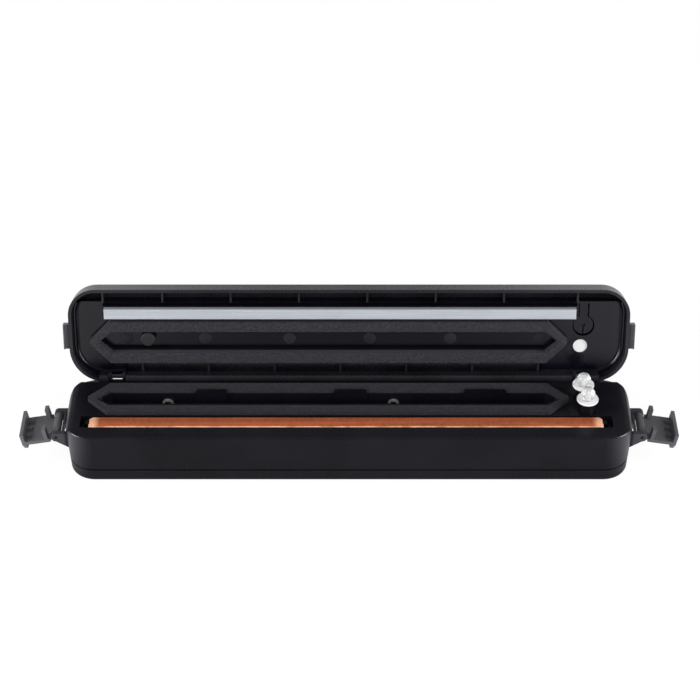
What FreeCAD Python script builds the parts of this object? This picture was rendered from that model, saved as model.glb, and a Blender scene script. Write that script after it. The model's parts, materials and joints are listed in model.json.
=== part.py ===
import FreeCAD, Part
import math
import os

os.makedirs("parts", exist_ok=True)

V = FreeCAD.Vector
UP = V(0, 0, 1)
ALONG = V(1, 0, 0)
BACK = V(0, 1, 0)

# Frame: X along the body, Y back, Z up, from the middle of the box round the open sealer, behind the body's
box_back = 13.3

# Body, seen from above
body_len = 360.0
body_dep = 64.0
plan_r = 18.0
rear_r = 23.0

# Heights of the base
foot_out = 1.2
cover_h = 9.8
housing_h = 27.4
base_draft = 1.9
wall = 2.2
deck_t = 2.8
floor_t = 2.0
end_roll_r = 6.0
front_edge_r = 1.3
cover_edge_r = 2.6
seam_gap = 0.5
seam_step = 0.7

# Lip that centres the cover in the housing
lip_t = 1.4
lip_h = 3.2
lip_gap = 0.25

# Lid hinge
axis_above_deck = 1.7
axis_in_from_back = 4.0
open_deg = 106.0
barrel_gap = 0.4
hinge_in = 29.95
notch_w = 11.7
notch_gap = 0.45
ear_t = 1.9
ear_r = 3.2
ear_neck_w = 5.0
ear_root = 7.0
pin_r = 1.5
pin_run_gap = 0.05
pin_hold_gap = 0.02
pin_in_lid = 5.0
barrel_front = 1.8
barrel_end_in = 0.6
rear_rail_t = 3.2

# Lid
rim_gap = 1.0
lid_rise = 16.5
lid_draft = 1.2
lid_wall = 2.1
lid_skin = 1.8
lid_edge_r = 7.0
lid_core_r = 5.0

# Side catches on the lid
catch_out = 3.6
catch_len = 16.8
catch_back = 1.3
catch_t = 3.5
catch_lip_t = 1.0
catch_lip_h = 0.9
catch_edge_r = 0.6

# Inner panel of the lid
panel_depth = 7.3
panel_t = 1.6
panel_front_s = 49.0
panel_rear_s = 7.8
panel_side_gap = 0.3
cove_t = 0.8
cove_h = 2.4
cove_r = 2.0
trough_left_in = 35.0
trough_right_in = 55.4
skirt_in = 13.0
skirt_t = 1.4
skirt_gap = 0.3
rib_t = 1.2
rib_low = 4.6
front_rib_pitch = 43.8
front_rib_count = 6
front_rib_first_x = -119.7
end_rib_left_in = 22.0
end_rib_right_in = 33.4
rear_rib_count = 7
rear_rib_left_in = 11.0
rear_rib_right_in = 1.8
rib_gap = 0.3
boss_r = 3.2
lid_boss_r = 2.4
panel_screw_r = 1.1
panel_screw_head_r = 2.2
panel_screw_gap = 0.1
panel_screw_pitch = 88.0
panel_screw_count = 3

# Ejector marks on the chamber floor of the lid
mark_r = 3.55
mark_h = 0.15
mark_pitch = 53.3
mark_count = 4
mark_last_in = 18.2

# Foam gaskets
ring_left_in = 13.1
ring_right_in = 39.5
ring_s = 22.5
ring_half_w = 14.5
ring_slant = 13.2
ring_tip_half = 1.4
ring_end_t = 6.2
ring_bar = 8.3
ring_hole_slant = 7.6
ring_hole_tip = 0.6
ring_edge_r = 0.8
ring_meet_n = 1.45
ring_meet_gap = 0.3
ring_groove = 1.2
ring_side_gap = 0.15

# Vacuum chamber in the base
chamber_depth = 12.0
chamber_wall = 2.0
chamber_lip_t = 0.9
chamber_lip_h = 1.5
chamber_lip_gap = 0.2
port_bore_r = 2.0
port_rim_r = 3.6
port_rim_t = 0.9
port_low = 3.1
port_left_in = 50.4
port_right_x = 28.5
port_nipple_r = 2.4
port_nipple_bore_r = 1.4
port_nipple_off = 3.6
port_nipple_low = 15.5
stop_t = 1.4
stop_above_deck = 4.6
stop_gap = 0.35
stop_corner_r = 1.5
stop_left_in = 68.8
stop_left_w = 19.7
stop_middle_x = -9.5
stop_middle_w = 21.0
stop_right_in = 66.8
stop_right_w = 27.0

# Chamber recess in the lid panel
lid_chamber_in = 0.6
lid_chamber_deep = 2.5
lid_chamber_t = 1.5
plug_in = 37.1
plug_s = 23.6
plug_r = 4.5
plug_stem_r = 2.6
plug_h = 5.6
plug_head_h = 2.4
plug_edge_r = 0.7

# Sealing strip on the lid
strip_left_in = 23.0
strip_right_in = 34.6
strip_s = 43.25
strip_w = 6.9
strip_proud = 1.5
strip_h = 4.2
strip_foot_w = 3.0
strip_foot_h = 1.6
strip_edge_r = 0.9
strip_fit = 0.1
rail_w = 8.6
rail_end = 1.2

# Heater in the base
heater_groove_left_in = 9.9
heater_groove_right_in = 13.3
heater_s = 43.5
heater_groove_w = 11.2
heater_groove_deep = 4.6
heater_bar_w = 9.2
heater_left_in = 15.7
heater_right_in = 19.6
heater_end_r = 3.0
ribbon_w = 3.0
ribbon_t = 0.2
ribbon_out = 2.6
tape_t = 0.3
tape_drop = 2.4
tape_gap = 0.05
tape_clear = 0.3
clip_w = 5.0
clip_t = 1.0
clip_leg = 9.0
clip_fit = 0.1

# Plungers at the right of the deck
plunger_front_off = 10.7
plunger_front_s = 32.25
plunger_rear_off = 9.2
plunger_rear_s = 17.85
plunger_travel = 8.4
stem_r = 4.8
stem_gap = 0.3
stem_in_guide = 6.0
rod_r = 1.9
rod_len = 9.0
guide_t = 1.3
guide_len = 17.0
flange_r = 6.85
flange_t = 1.0
flange_rest = 0.4
flange_edge_r = 0.3
dome_r = 4.6
dome_foot_r = 3.9
dome_centre_up = 3.6
spring_wire_r = 0.4
spring_coil_r = 3.2
spring_end_gap = 0.1

# Press tongue and push pad in the lid
tongue_slot = 0.8
tongue_r = 6.3
tongue_neck_w = 5.2
tongue_sunk = 1.6
tongue_t = 1.6
tongue_root_gap = 0.3
tongue_hole_r = 1.4
tongue_slit_w = 0.9
button_r = 5.2
button_gap = 0.6
button_up = 1.2
button_stem_r = 3.0
button_dish_deep = 0.5
button_edge_r = 0.6
button_flange_out = 1.2
button_flange_t = 0.8
pad_r = 4.65
pad_gap = 0.15
pad_sunk = 1.0
pad_t = 1.5
pad_stem_r = 2.4

# Side latches
latch_below_deck = 15.2
latch_pivot_out = 7.0
latch_y = -0.8
arm_pitch = 22.5
arm_t = 3.0
arm_r = 3.2
arm_root_h = 9.6
arm_root_drop = 4.1
bar_out = 3.0
bar_t = 1.5
bar_h = 3.4
latch_pin_r = 1.2
latch_barrel_r = 2.7
latch_side_gap = 0.4
flap_w = 24.6
flap_in = 0.9
flap_t = 2.2
flap_start = 4.2
hook_gap = 0.3
hook_in = 6.0
hook_t = 2.2
hook_slot_w = 4.2
hook_slot_count = 3
hook_slot_pitch = 6.6
hook_slot_deep = 1.3
finger_out = 5.0
finger_cut = 3.2
prong_w = 4.8
prong_t = 2.4
prong_gap = 0.35
prong_up = 5.4
latch_open_deg = 100.0

# Screws and feet under the base
screw_r = 1.5
screw_head_r = 3.0
screw_head_h = 2.0
screw_len = 15.0
screw_sink = 2.6
screw_gap = 0.25
screw_cross_w = 0.9
screw_cross_l = 3.6
screw_cross_deep = 1.0
cover_boss_top = 2.4
front_corner_in = 13.5
front_corner_y = -21.6
rear_corner_in = 15.0
rear_corner_y = 20.0
front_boss_y = -22.8
rear_boss_y = 22.6
foot_in = 32.0
foot_y = 20.0
foot_r = 6.2
foot_sunk = 0.9
foot_gap = 0.15
foot_edge_r = 0.5

# Power inlet in the back wall
inlet_in = 68.0
inlet_z = 22.5
inlet_w = 23.0
inlet_h = 14.0
inlet_deep = 15.0
inlet_fit = 0.15
inlet_lobe_r = 4.3
inlet_pitch = 8.6
inlet_hollow = 10.5
inlet_pin_r = 1.2
inlet_pin_len = 8.0
inlet_tail_len = 5.0
inlet_flange = 1.6
inlet_flange_t = 1.2
inlet_flange_gap = 0.1

# Pump and electrics inside the base
pump_off = 6.0
pump_y = -14.5
pump_z = 16.6
motor_r = 11.0
motor_len = 31.0
motor_boss_r = 4.0
motor_boss_len = 2.0
head_len = 24.0
head_r = 11.6
head_flat = 10.6
head_band = 0.8
head_band_w = 2.0
nozzle_r = 2.3
nozzle_len = 7.0
saddle_w = 9.0
saddle_t = 2.4
saddle_inset = 5.0
saddle_gap = 0.1
hose_r = 3.2
hose_fit = 0.1
hose_out = 77.0
hose_arc_share = 0.45
board_left_in = 30.0
board_len = 58.0
board_front_y = -24.0
board_rear_y = 22.0
board_t = 1.6
board_up = 3.0
post_r = 2.6
post_in = 4.0
relay_l = 19.0
relay_w = 15.5
relay_h = 14.5
relay_in = 14.0
relay_y = -10.0
capacitor_r = 5.0
capacitor_h = 14.0
capacitor_in = 38.0
capacitor_y = -12.0
capacitor_sleeve_in = 0.4
core_in = 118.0
core_y = -11.5
core_l = 35.0
core_w = 14.0
core_h = 26.0
core_limb = 5.5
core_middle = 8.0
coil_t = 5.0
coil_gap = 0.2
switch_l = 12.8
switch_w = 9.0
switch_h = 6.0
switch_button_r = 1.4
switch_button_gap = 0.4
sensor_l = 11.0
sensor_w = 9.0
sensor_h = 4.5
sensor_nipple_h = 5.0
sensor_hose_lap = 4.0
part_edge_r = 0.6
same_height = 0.001

# Places worked out from the sizes above
half_len = body_len / 2
half_dep = body_dep / 2
hinge_x = half_len - hinge_in
trough_left_x = trough_left_in - half_len
trough_right_x = half_len - trough_right_in
end_rib_left_x = end_rib_left_in - half_len
end_rib_right_x = half_len - end_rib_right_in
rear_rib_first_x = trough_left_x + rear_rib_left_in
rear_rib_pitch = (trough_right_x - rear_rib_right_in - rear_rib_first_x) / (rear_rib_count - 1)
ring_left_x = ring_left_in - half_len
ring_right_x = half_len - ring_right_in
ring_x = (ring_left_x + ring_right_x) / 2
ring_half_len = (ring_right_x - ring_left_x) / 2
mark_first_x = ring_right_x - mark_last_in - (mark_count - 1) * mark_pitch
port_left_x = ring_left_x + port_left_in
plug_x = ring_left_x + plug_in
stop_left_x = ring_left_x + stop_left_in
stop_right_x = ring_right_x - stop_right_in
strip_left_x = strip_left_in - half_len
strip_right_x = half_len - strip_right_in
heater_groove_left_x = heater_groove_left_in - half_len
heater_groove_right_x = half_len - heater_groove_right_in
heater_left_x = heater_left_in - half_len
heater_right_x = half_len - heater_right_in
plunger_front_x = ring_right_x + plunger_front_off
plunger_rear_x = ring_right_x + plunger_rear_off
front_corner_x = half_len - front_corner_in
rear_corner_x = half_len - rear_corner_in
foot_x = half_len - foot_in
inlet_x = half_len - inlet_in
board_left_x = board_left_in - half_len
board_right_x = board_left_x + board_len
pump_x = board_right_x + pump_off
hose_drop_x = pump_x + hose_out
relay_x = board_left_x + relay_in
capacitor_x = board_left_x + capacitor_in
core_x = half_len - core_in
seam_z = foot_out + cover_h
deck_z = seam_z + housing_h
axis_y = half_dep - axis_in_from_back
axis_z = deck_z + axis_above_deck
barrel_r = axis_in_from_back
rim_z = deck_z + rim_gap
lid_top_z = axis_z + lid_rise
skin_z = lid_top_z - lid_skin
panel_z = axis_z + panel_depth
floor_z = foot_out + floor_t
base_drop = deck_z - foot_out
ceiling_z = deck_z - deck_t


def ahead(s):
    """Y of a place that lies s in front of the hinge axis with the lid shut."""
    return axis_y - s


def base_inset(z):
    """How far the drafted side wall of the base has come in at a height."""
    return base_draft * (deck_z - z) / base_drop


def lid_inset(z):
    """How far the drafted side wall of the lid has come in at a height."""
    return lid_draft * (z - rim_z) / (lid_top_z - rim_z)


def rounded(x0, x1, y0, y1, radii, z):
    """Closed outline of a rectangle whose four corners each have a radius, from the back right."""
    corners = ((x1, y1, -1, -1), (x0, y1, 1, -1), (x0, y0, 1, 1), (x1, y0, -1, 1))
    edges = []
    ends = []
    for turn, ((cx, cy, sx, sy), r) in enumerate(zip(corners, radii)):
        centre = V(cx + sx * r, cy + sy * r, z)
        edges.append(Part.makeCircle(r, centre, UP, 90 * turn, 90 * turn + 90))
        first = FreeCAD.Rotation(UP, 90 * turn).multVec(V(r, 0, 0))
        last = FreeCAD.Rotation(UP, 90 * turn + 90).multVec(V(r, 0, 0))
        ends.append((centre + first, centre + last))
    lines = []
    for turn, (first, last) in enumerate(ends):
        following = ends[(turn + 1) % len(ends)][0]
        lines.append(Part.makeLine(last, following))
    loop = [edge for pair in zip(edges, lines) for edge in pair]
    return Part.Wire(loop)


def body_outline(inset, z):
    """Outline of the whole body, drawn in by an inset."""
    hx = half_len - inset
    hy = half_dep - inset
    radii = [rear_r - inset] * 2 + [plan_r - inset] * 2
    return rounded(-hx, hx, -hy, hy, radii, z)


def drafted(low, high, low_inset, high_inset):
    """Solid body block between two heights with its own inset at each."""
    wires = [body_outline(low_inset, low), body_outline(high_inset, high)]
    return Part.makeLoft(wires, True, True)


def prism(wire, height):
    """Flat outline raised to a solid."""
    return Part.Face(wire).extrude(V(0, 0, height))


def polygon(points):
    """Closed wire through points."""
    return Part.makePolygon(list(points) + [points[0]])


def along_x(points, x0, x1):
    """Side profile in Y and Z drawn out along X."""
    face = Part.Face(polygon([V(x0, y, z) for y, z in points]))
    return face.extrude(V(x1 - x0, 0, 0))


def along_y(points, y0, y1):
    """Front profile in X and Z drawn out along Y."""
    face = Part.Face(polygon([V(x, y0, z) for x, z in points]))
    return face.extrude(V(0, y1 - y0, 0))


def block(x0, x1, y0, y1, z0, z1):
    """Plain block between two corners."""
    return Part.makeBox(x1 - x0, y1 - y0, z1 - z0, V(x0, y0, z0))


def post(r, x, y, z0, z1):
    """Upright cylinder."""
    return Part.makeCylinder(r, z1 - z0, V(x, y, z0), UP)


def rod(r, x0, x1, y, z):
    """Cylinder along X."""
    return Part.makeCylinder(r, x1 - x0, V(x0, y, z), ALONG)


def cross_rod(r, x, y0, y1, z):
    """Cylinder along Y."""
    return Part.makeCylinder(r, y1 - y0, V(x, y0, z), BACK)


def edges_at(shape, z):
    """Edges of a shape that lie flat at one height."""
    return [e for e in shape.Edges if all(abs(p.Point.z - z) < same_height for p in e.Vertexes)]


def softened(shape, z, r):
    """Shape with its edges at one height rounded."""
    return shape.makeFillet(r, edges_at(shape, z))


def keep(name, shape):
    """Writes one piece in the frame of the open sealer."""
    placed = shape.copy()
    placed.translate(V(0, -box_back, 0))
    placed.exportStep("parts/" + name + ".step")


def open_lid(shape):
    """Turns a piece that was drawn on the shut lid to the open rest pose."""
    turned = shape.copy()
    turned.rotate(V(0, axis_y, axis_z), ALONG, -open_deg)
    return turned


def hexagon(x, y, half_l, half_w, slant, tip, z):
    """Long hexagon with blunt points at its ends."""
    right = [(half_l, tip), (half_l - slant, half_w)]
    upper = right + [(-px, py) for px, py in reversed(right)]
    around = upper + [(-px, -py) for px, py in upper]
    return polygon([V(x + px, y + py, z) for px, py in around])


ring_y = ahead(ring_s)
hole_half_len = ring_half_len - ring_end_t
hole_half_w = ring_half_w - ring_bar


def ring_outer(z, grow):
    """Outer outline of a gasket."""
    return hexagon(ring_x, ring_y, ring_half_len + grow, ring_half_w + grow, ring_slant, ring_tip_half, z)


def ring_hole(z, shrink):
    """Outline of the opening inside a gasket."""
    half_l = hole_half_len - shrink
    half_w = hole_half_w - shrink
    return hexagon(ring_x, ring_y, half_l, half_w, ring_hole_slant, ring_hole_tip, z)


def gasket(z0, z1, soft_z):
    """Foam ring with softened edges on its sealing face."""
    ring = prism(ring_outer(z0, 0), z1 - z0).cut(prism(ring_hole(z0, 0), z1 - z0))
    return softened(ring, soft_z, ring_edge_r)


# Base housing
chamber_in = chamber_lip_gap + chamber_lip_t
chamber_floor_z = deck_z - chamber_depth
ring_seat_z = deck_z - ring_groove
groove_floor_z = deck_z - heater_groove_deep
heater_y = ahead(heater_s)
groove_y0 = heater_y - heater_groove_w / 2
groove_y1 = heater_y + heater_groove_w / 2
guide_low_z = deck_z - guide_len
plunger_spots = (
    ("front_plunger", plunger_front_x, ahead(plunger_front_s)),
    ("rear_plunger", plunger_rear_x, ahead(plunger_rear_s)),
)
corner_places = [(front_corner_x, front_corner_y), (rear_corner_x, rear_corner_y)]
corner_bosses = [(side * x, y) for side in (-1, 1) for x, y in corner_places]
boss_spots = corner_bosses + [(0, front_boss_y), (0, rear_boss_y)]
cover_boss_z = seam_z + cover_boss_top

open_rad = math.radians(open_deg)
clear_r = barrel_r + barrel_gap
stop_low = (clear_r * math.cos(open_rad), -clear_r * math.sin(open_rad))
stop_run = axis_in_from_back + clear_r
stop_out = (
    stop_low[0] + stop_run * math.sin(open_rad),
    stop_low[1] + stop_run * math.cos(open_rad),
)
rail_low_z = axis_z + stop_out[1] - rear_rail_t


def hinge_trough():
    """Room behind the deck in which the lid's barrel and back wall turn."""
    round_part = rod(clear_r, -half_len, half_len, axis_y, axis_z)
    profile = [
        (axis_y + stop_low[0], axis_z + stop_low[1]),
        (axis_y + stop_out[0], axis_z + stop_out[1]),
        (axis_y + stop_out[0], axis_z + clear_r),
        (axis_y + stop_low[0], axis_z + clear_r),
    ]
    return round_part.fuse(along_x(profile, -half_len, half_len))


def hinge_ears():
    """Two pairs of ears that carry the lid's pins."""
    ears = []
    for side in (-1, 1):
        for edge in (-1, 1):
            outer = side * hinge_x + edge * (notch_w / 2 - notch_gap)
            inner = outer - edge * ear_t
            x0 = min(outer, inner)
            x1 = max(outer, inner)
            neck_y0 = axis_y - ear_neck_w / 2
            neck = block(x0, x1, neck_y0, neck_y0 + ear_neck_w, axis_z - ear_root, axis_z)
            ear = rod(ear_r, x0, x1, axis_y, axis_z).fuse(neck)
            ears.append(ear.cut(rod(pin_r + pin_run_gap, x0, x1, axis_y, axis_z)))
    return ears


latch_z = deck_z - latch_below_deck
latch_x = half_len + latch_pivot_out


def latch_arms():
    """Brackets at both ends that carry the latch pins."""
    arms = []
    for side in (-1, 1):
        for edge in (-1, 1):
            y0 = latch_y + edge * arm_pitch / 2 - arm_t / 2
            root = side * (half_len - base_inset(latch_z) - wall / 2)
            tip = side * latch_x
            gusset_low = latch_z - arm_root_drop - arm_root_h / 2
            profile = [
                (root, latch_z + arm_r),
                (tip, latch_z + arm_r),
                (tip, latch_z - arm_r),
                (root, gusset_low),
            ]
            arm = along_y(profile, y0, y0 + arm_t).fuse(cross_rod(arm_r, tip, y0, y0 + arm_t, latch_z))
            arms.append(arm)
        bar_x = side * (half_len + bar_out - bar_t / 2)
        x0 = min(bar_x, bar_x + side * bar_t)
        bar_y0 = latch_y - arm_pitch / 2
        bar_z0 = latch_z - bar_h / 2
        arms.append(block(x0, x0 + bar_t, bar_y0, bar_y0 + arm_pitch, bar_z0, bar_z0 + bar_h))
    return arms


def latch_bores():
    """Holes for the latch pins through the brackets."""
    bores = []
    for side in (-1, 1):
        y0 = latch_y - arm_pitch / 2 - arm_t
        y1 = latch_y + arm_pitch / 2 + arm_t
        bores.append(cross_rod(latch_pin_r + pin_hold_gap, side * latch_x, y0, y1, latch_z))
    return bores


def outer_housing():
    """Drafted outside of the base with rolled ends and a crisp front edge."""
    low_z = seam_z + seam_gap
    solid = softened(drafted(low_z, deck_z, base_inset(low_z), 0), deck_z, front_edge_r)
    roll = block(-half_len, half_len, -half_dep, half_dep, low_z, deck_z)
    ends = [e for e in edges_at(roll, deck_z) if abs(e.tangentAt(e.FirstParameter).y) > front_edge_r / 2]
    return solid.common(roll.makeFillet(end_roll_r, ends))


port_z = deck_z - port_low - port_rim_r
port_wall_y = ring_y + hole_half_w - chamber_in
nipple_y = port_wall_y + chamber_wall + port_nipple_off
nipple_low_z = deck_z - port_nipple_low
leg_x = (heater_left_x - ribbon_out, heater_right_x + ribbon_out)


def housing_inside():
    """Walls, guides and bosses that hang below the deck."""
    pieces = [prism(ring_hole(chamber_floor_z - floor_t, chamber_in - chamber_wall), chamber_depth)]
    groove_x0 = heater_groove_left_x - chamber_wall
    groove_x1 = heater_groove_right_x + chamber_wall
    low_y = groove_y0 - chamber_wall
    high_y = groove_y1 + chamber_wall
    pieces.append(block(groove_x0, groove_x1, low_y, high_y, groove_floor_z - floor_t, ceiling_z))
    for name, x, y in plunger_spots:
        pieces.append(post(stem_r + stem_gap + guide_t, x, y, guide_low_z, ceiling_z))
    for x, y in boss_spots:
        pieces.append(post(boss_r, x, y, cover_boss_z, ceiling_z))
    half_way = port_nipple_r
    for x in (port_left_x, port_right_x):
        pieces.append(post(port_nipple_r, x, nipple_y, nipple_low_z, ceiling_z))
        way = block(x - half_way, x + half_way, port_wall_y, nipple_y, port_z - half_way, ceiling_z)
        pieces.append(way)
    room = drafted(seam_z, deck_z, base_inset(seam_z), 0)
    return [piece.common(room) for piece in pieces]


def deck_cuts():
    """Gasket seat, heater groove, plunger bores, screw holes and air ways."""
    seat = prism(ring_outer(ring_seat_z, ring_side_gap), ring_groove)
    cuts = [seat.cut(prism(ring_hole(ring_seat_z, chamber_lip_gap), ring_groove))]
    groove = block(heater_groove_left_x, heater_groove_right_x, groove_y0, groove_y1, groove_floor_z, deck_z)
    cuts.append(groove)
    leg_y0 = heater_y - ribbon_w / 2 - clip_fit
    leg_y1 = heater_y + ribbon_w / 2 + clip_fit
    for x in leg_x:
        cuts.append(block(x - clip_t, x + clip_t, leg_y0, leg_y1, groove_floor_z - floor_t, groove_floor_z))
    for name, x, y in plunger_spots:
        cuts.append(post(stem_r + stem_gap, x, y, guide_low_z, deck_z))
    for x, y in boss_spots:
        cuts.append(post(screw_r, x, y, cover_boss_z, cover_boss_z + screw_len))
    for x in (port_left_x, port_right_x):
        cuts.append(post(port_nipple_bore_r, x, nipple_y, nipple_low_z, port_z))
        cuts.append(cross_rod(port_bore_r, x, port_wall_y - chamber_wall, nipple_y, port_z))
    return cuts


def bag_stops():
    """Upright fingers at the back of the chamber that the bag's mouth meets."""
    back_y = ring_y + hole_half_w - stop_gap
    top_z = deck_z + stop_above_deck
    stops = []
    places = ((stop_left_x, stop_left_w), (stop_middle_x, stop_middle_w), (stop_right_x, stop_right_w))
    for x, width in places:
        stop = block(x, x + width, back_y - stop_t, back_y, chamber_floor_z, top_z)
        ends = [e for e in edges_at(stop, top_z) if abs(e.tangentAt(e.FirstParameter).y) > stop_t / 2]
        stops.append(stop.makeFillet(stop_corner_r, ends))
    return stops


def inlet_hole(grow):
    """Room of the power inlet through the back wall."""
    half_w = inlet_w / 2 + grow
    half_h = inlet_h / 2 + grow
    x0 = inlet_x - half_w
    x1 = inlet_x + half_w
    return block(x0, x1, half_dep - inlet_deep, half_dep, inlet_z - half_h, inlet_z + half_h)


def base_housing():
    """Upper moulding of the base with its deck, chamber, grooves, guides, ears and brackets."""
    core = drafted(seam_z, ceiling_z, base_inset(seam_z) + wall, base_inset(ceiling_z) + wall)
    rail_y0 = axis_y - clear_r - rear_rail_t
    core = core.cut(block(-half_len, half_len, rail_y0, half_dep, rail_low_z, deck_z))
    body = outer_housing().cut(core).multiFuse(housing_inside())
    body = body.cut(hinge_trough())
    body = body.fuse(prism(ring_hole(ring_seat_z, chamber_lip_gap), ring_groove + chamber_lip_h))
    for cut in deck_cuts():
        body = body.cut(cut)
    body = body.cut(prism(ring_hole(chamber_floor_z, chamber_in), chamber_depth + chamber_lip_h))
    for x in (port_left_x, port_right_x):
        body = body.cut(cross_rod(port_bore_r, x, port_wall_y - chamber_wall, nipple_y, port_z))
    body = body.multiFuse(bag_stops() + hinge_ears() + latch_arms())
    for bore in latch_bores():
        body = body.cut(bore)
    return body.cut(inlet_hole(inlet_fit)).removeSplitter()


# Bottom cover with its lip, bosses, posts and foot pockets
board_z = floor_z + board_up
post_spots = [
    (x, y)
    for x in (board_left_x + post_in, board_right_x - post_in)
    for y in (board_front_y + post_in, board_rear_y - post_in)
]
foot_spots = [(sx * foot_x, sy * foot_y) for sx in (-1, 1) for sy in (-1, 1)]
head_z = foot_out + screw_sink


def bottom_cover():
    """Tray that closes the base from below."""
    outer = drafted(foot_out, seam_z, base_inset(foot_out), base_inset(seam_z))
    outer = softened(outer, foot_out, cover_edge_r)
    tray = outer.cut(drafted(floor_z, seam_z, base_inset(floor_z) + wall, base_inset(seam_z) + wall))
    in_0 = wall + lip_gap
    in_1 = in_0 + lip_t
    top_z = seam_z + lip_h
    low_z = seam_z - lip_h
    lip = drafted(seam_z, top_z, base_inset(seam_z) + in_0, base_inset(top_z) + in_0)
    root = drafted(low_z, seam_z, base_inset(low_z) + wall / 2, base_inset(seam_z) + wall / 2)
    hollow = drafted(low_z, top_z, base_inset(low_z) + in_1, base_inset(top_z) + in_1)
    pieces = [lip.fuse(root).cut(hollow)]
    root_z = foot_out + floor_t / 2
    for x, y in boss_spots:
        pieces.append(post(boss_r, x, y, root_z, cover_boss_z))
        pieces.append(post(screw_head_r + screw_gap + floor_t / 2, x, y, root_z, head_z + floor_t))
    for x, y in post_spots:
        pieces.append(post(post_r, x, y, root_z, board_z))
    tray = tray.multiFuse(pieces)
    shoulder = outer_step()
    for cut in [shoulder] + screw_holes() + foot_pockets():
        tray = tray.cut(cut)
    return tray.removeSplitter()


def outer_step():
    """Shadow step just below the seam, all the way round."""
    low_z = seam_z - seam_gap
    ring = drafted(low_z, seam_z, base_inset(low_z) - seam_step, base_inset(seam_z) - seam_step)
    return ring.cut(drafted(low_z, seam_z, base_inset(low_z) + seam_step, base_inset(seam_z) + seam_step))


def screw_holes():
    """Clearance holes with sunk heads from below."""
    holes = []
    for x, y in boss_spots:
        holes.append(post(screw_r + screw_gap, x, y, foot_out, cover_boss_z))
        holes.append(post(screw_head_r + screw_gap, x, y, foot_out, head_z))
    return holes


def foot_pockets():
    """Shallow pockets that the rubber feet sit in."""
    return [post(foot_r + foot_gap, x, y, foot_out, foot_out + foot_sunk) for x, y in foot_spots]


def rubber_feet():
    """Four soft pads that the body stands on."""
    pads = []
    for x, y in foot_spots:
        pads.append(softened(post(foot_r, x, y, 0, foot_out + foot_sunk), 0, foot_edge_r))
    return Part.makeCompound(pads)


def screw(x, y, z, length):
    """Pan-head screw pointing up with a cross slot, its head's seat at z."""
    head = softened(post(screw_head_r, x, y, z - screw_head_h, z), z - screw_head_h, part_edge_r)
    whole = head.fuse(post(screw_r, x, y, z, z + length))
    low = z - screw_head_h
    long_half = screw_cross_l / 2
    thin_half = screw_cross_w / 2
    slot = block(x - long_half, x + long_half, y - thin_half, y + thin_half, low, low + screw_cross_deep)
    other = block(x - thin_half, x + thin_half, y - long_half, y + long_half, low, low + screw_cross_deep)
    return whole.cut(slot).cut(other).removeSplitter()


def bottom_screws():
    """Screws that hold the cover to the housing."""
    return Part.makeCompound([screw(x, y, head_z, screw_len - screw_sink) for x, y in boss_spots])


# Heater
strip_face_z = axis_z - strip_proud
tape_top_z = strip_face_z - tape_clear
ribbon_top_z = tape_top_z - tape_t
bar_top_z = ribbon_top_z - ribbon_t


def heater_plan(grow, z):
    """Outline of the heater bar and of what wraps it."""
    half_w = heater_bar_w / 2 + grow
    soft = heater_end_r + grow
    crisp = part_edge_r + grow
    radii = (soft, soft, crisp, crisp)
    x0 = heater_left_x - grow
    x1 = heater_right_x + grow
    return rounded(x0, x1, heater_y - half_w, heater_y + half_w, radii, z)


def heater_bar():
    """Insulating bar that carries the heating ribbon."""
    return prism(heater_plan(0, groove_floor_z), bar_top_z - groove_floor_z)


def heating_ribbon():
    """Flat wire along the bar with its ends turned down to the clips."""
    low_z = groove_floor_z - clip_leg + clip_t
    left, right = leg_x
    profile = [
        (left, ribbon_top_z),
        (right, ribbon_top_z),
        (right, low_z),
        (right - ribbon_t, low_z),
        (right - ribbon_t, bar_top_z),
        (left + ribbon_t, bar_top_z),
        (left + ribbon_t, low_z),
        (left, low_z),
    ]
    return along_y(profile, heater_y - ribbon_w / 2, heater_y + ribbon_w / 2)


def heater_tape():
    """Non-stick cloth folded over the ribbon and the bar."""
    low_z = bar_top_z - tape_drop
    outer = prism(heater_plan(tape_gap + tape_t, low_z), tape_top_z - low_z)
    outer = softened(outer, tape_top_z, tape_t)
    half_w = ribbon_w / 2 + tape_gap
    x0 = heater_left_x - clip_w
    x1 = heater_right_x + clip_w
    end = block(x0, x1, heater_y - half_w, heater_y + half_w, low_z, ribbon_top_z)
    return outer.cut(prism(heater_plan(tape_gap, low_z), ribbon_top_z - low_z)).cut(end)


def heater_clips():
    """Brass clips below the groove that hold the ends of the ribbon."""
    clips = []
    top_z = groove_floor_z - floor_t
    low_z = top_z - clip_leg
    half_w = clip_w / 2
    half_slot = ribbon_w / 2 + clip_fit
    half_t = clip_t + ribbon_t
    for x, side in zip(leg_x, (1, -1)):
        body = block(x - half_t, x + half_t, heater_y - half_w, heater_y + half_w, low_z, top_z)
        inner = x + side * ribbon_t / 2
        x0 = inner - ribbon_t
        x1 = inner + ribbon_t
        slot = block(x0, x1, heater_y - half_slot, heater_y + half_slot, low_z, top_z)
        clips.append(body.cut(slot))
    return Part.makeCompound(clips)


def suction_eyelets():
    """Bright rims of the two air ways in the chamber's back wall."""
    rims = []
    for x in (port_left_x, port_right_x):
        rim = cross_rod(port_rim_r, x, port_wall_y - port_rim_t, port_wall_y, port_z)
        rims.append(rim.cut(cross_rod(port_bore_r, x, port_wall_y - port_rim_t, port_wall_y, port_z)))
    return Part.makeCompound(rims)


# Plungers
flange_low_z = deck_z + flange_rest + plunger_travel
flange_top_z = flange_low_z + flange_t
stem_low_z = deck_z - stem_in_guide


def plunger_stem(x, y):
    """Black collar that slides in the deck with a thin rod below it."""
    collar = softened(post(stem_r, x, y, stem_low_z, flange_low_z), flange_low_z, part_edge_r)
    return collar.fuse(post(rod_r, x, y, stem_low_z - rod_len, stem_low_z)).removeSplitter()


def plunger_flange(x, y):
    """Thin white washer on the collar."""
    return softened(post(flange_r, x, y, flange_low_z, flange_top_z), flange_top_z, flange_edge_r)


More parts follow.
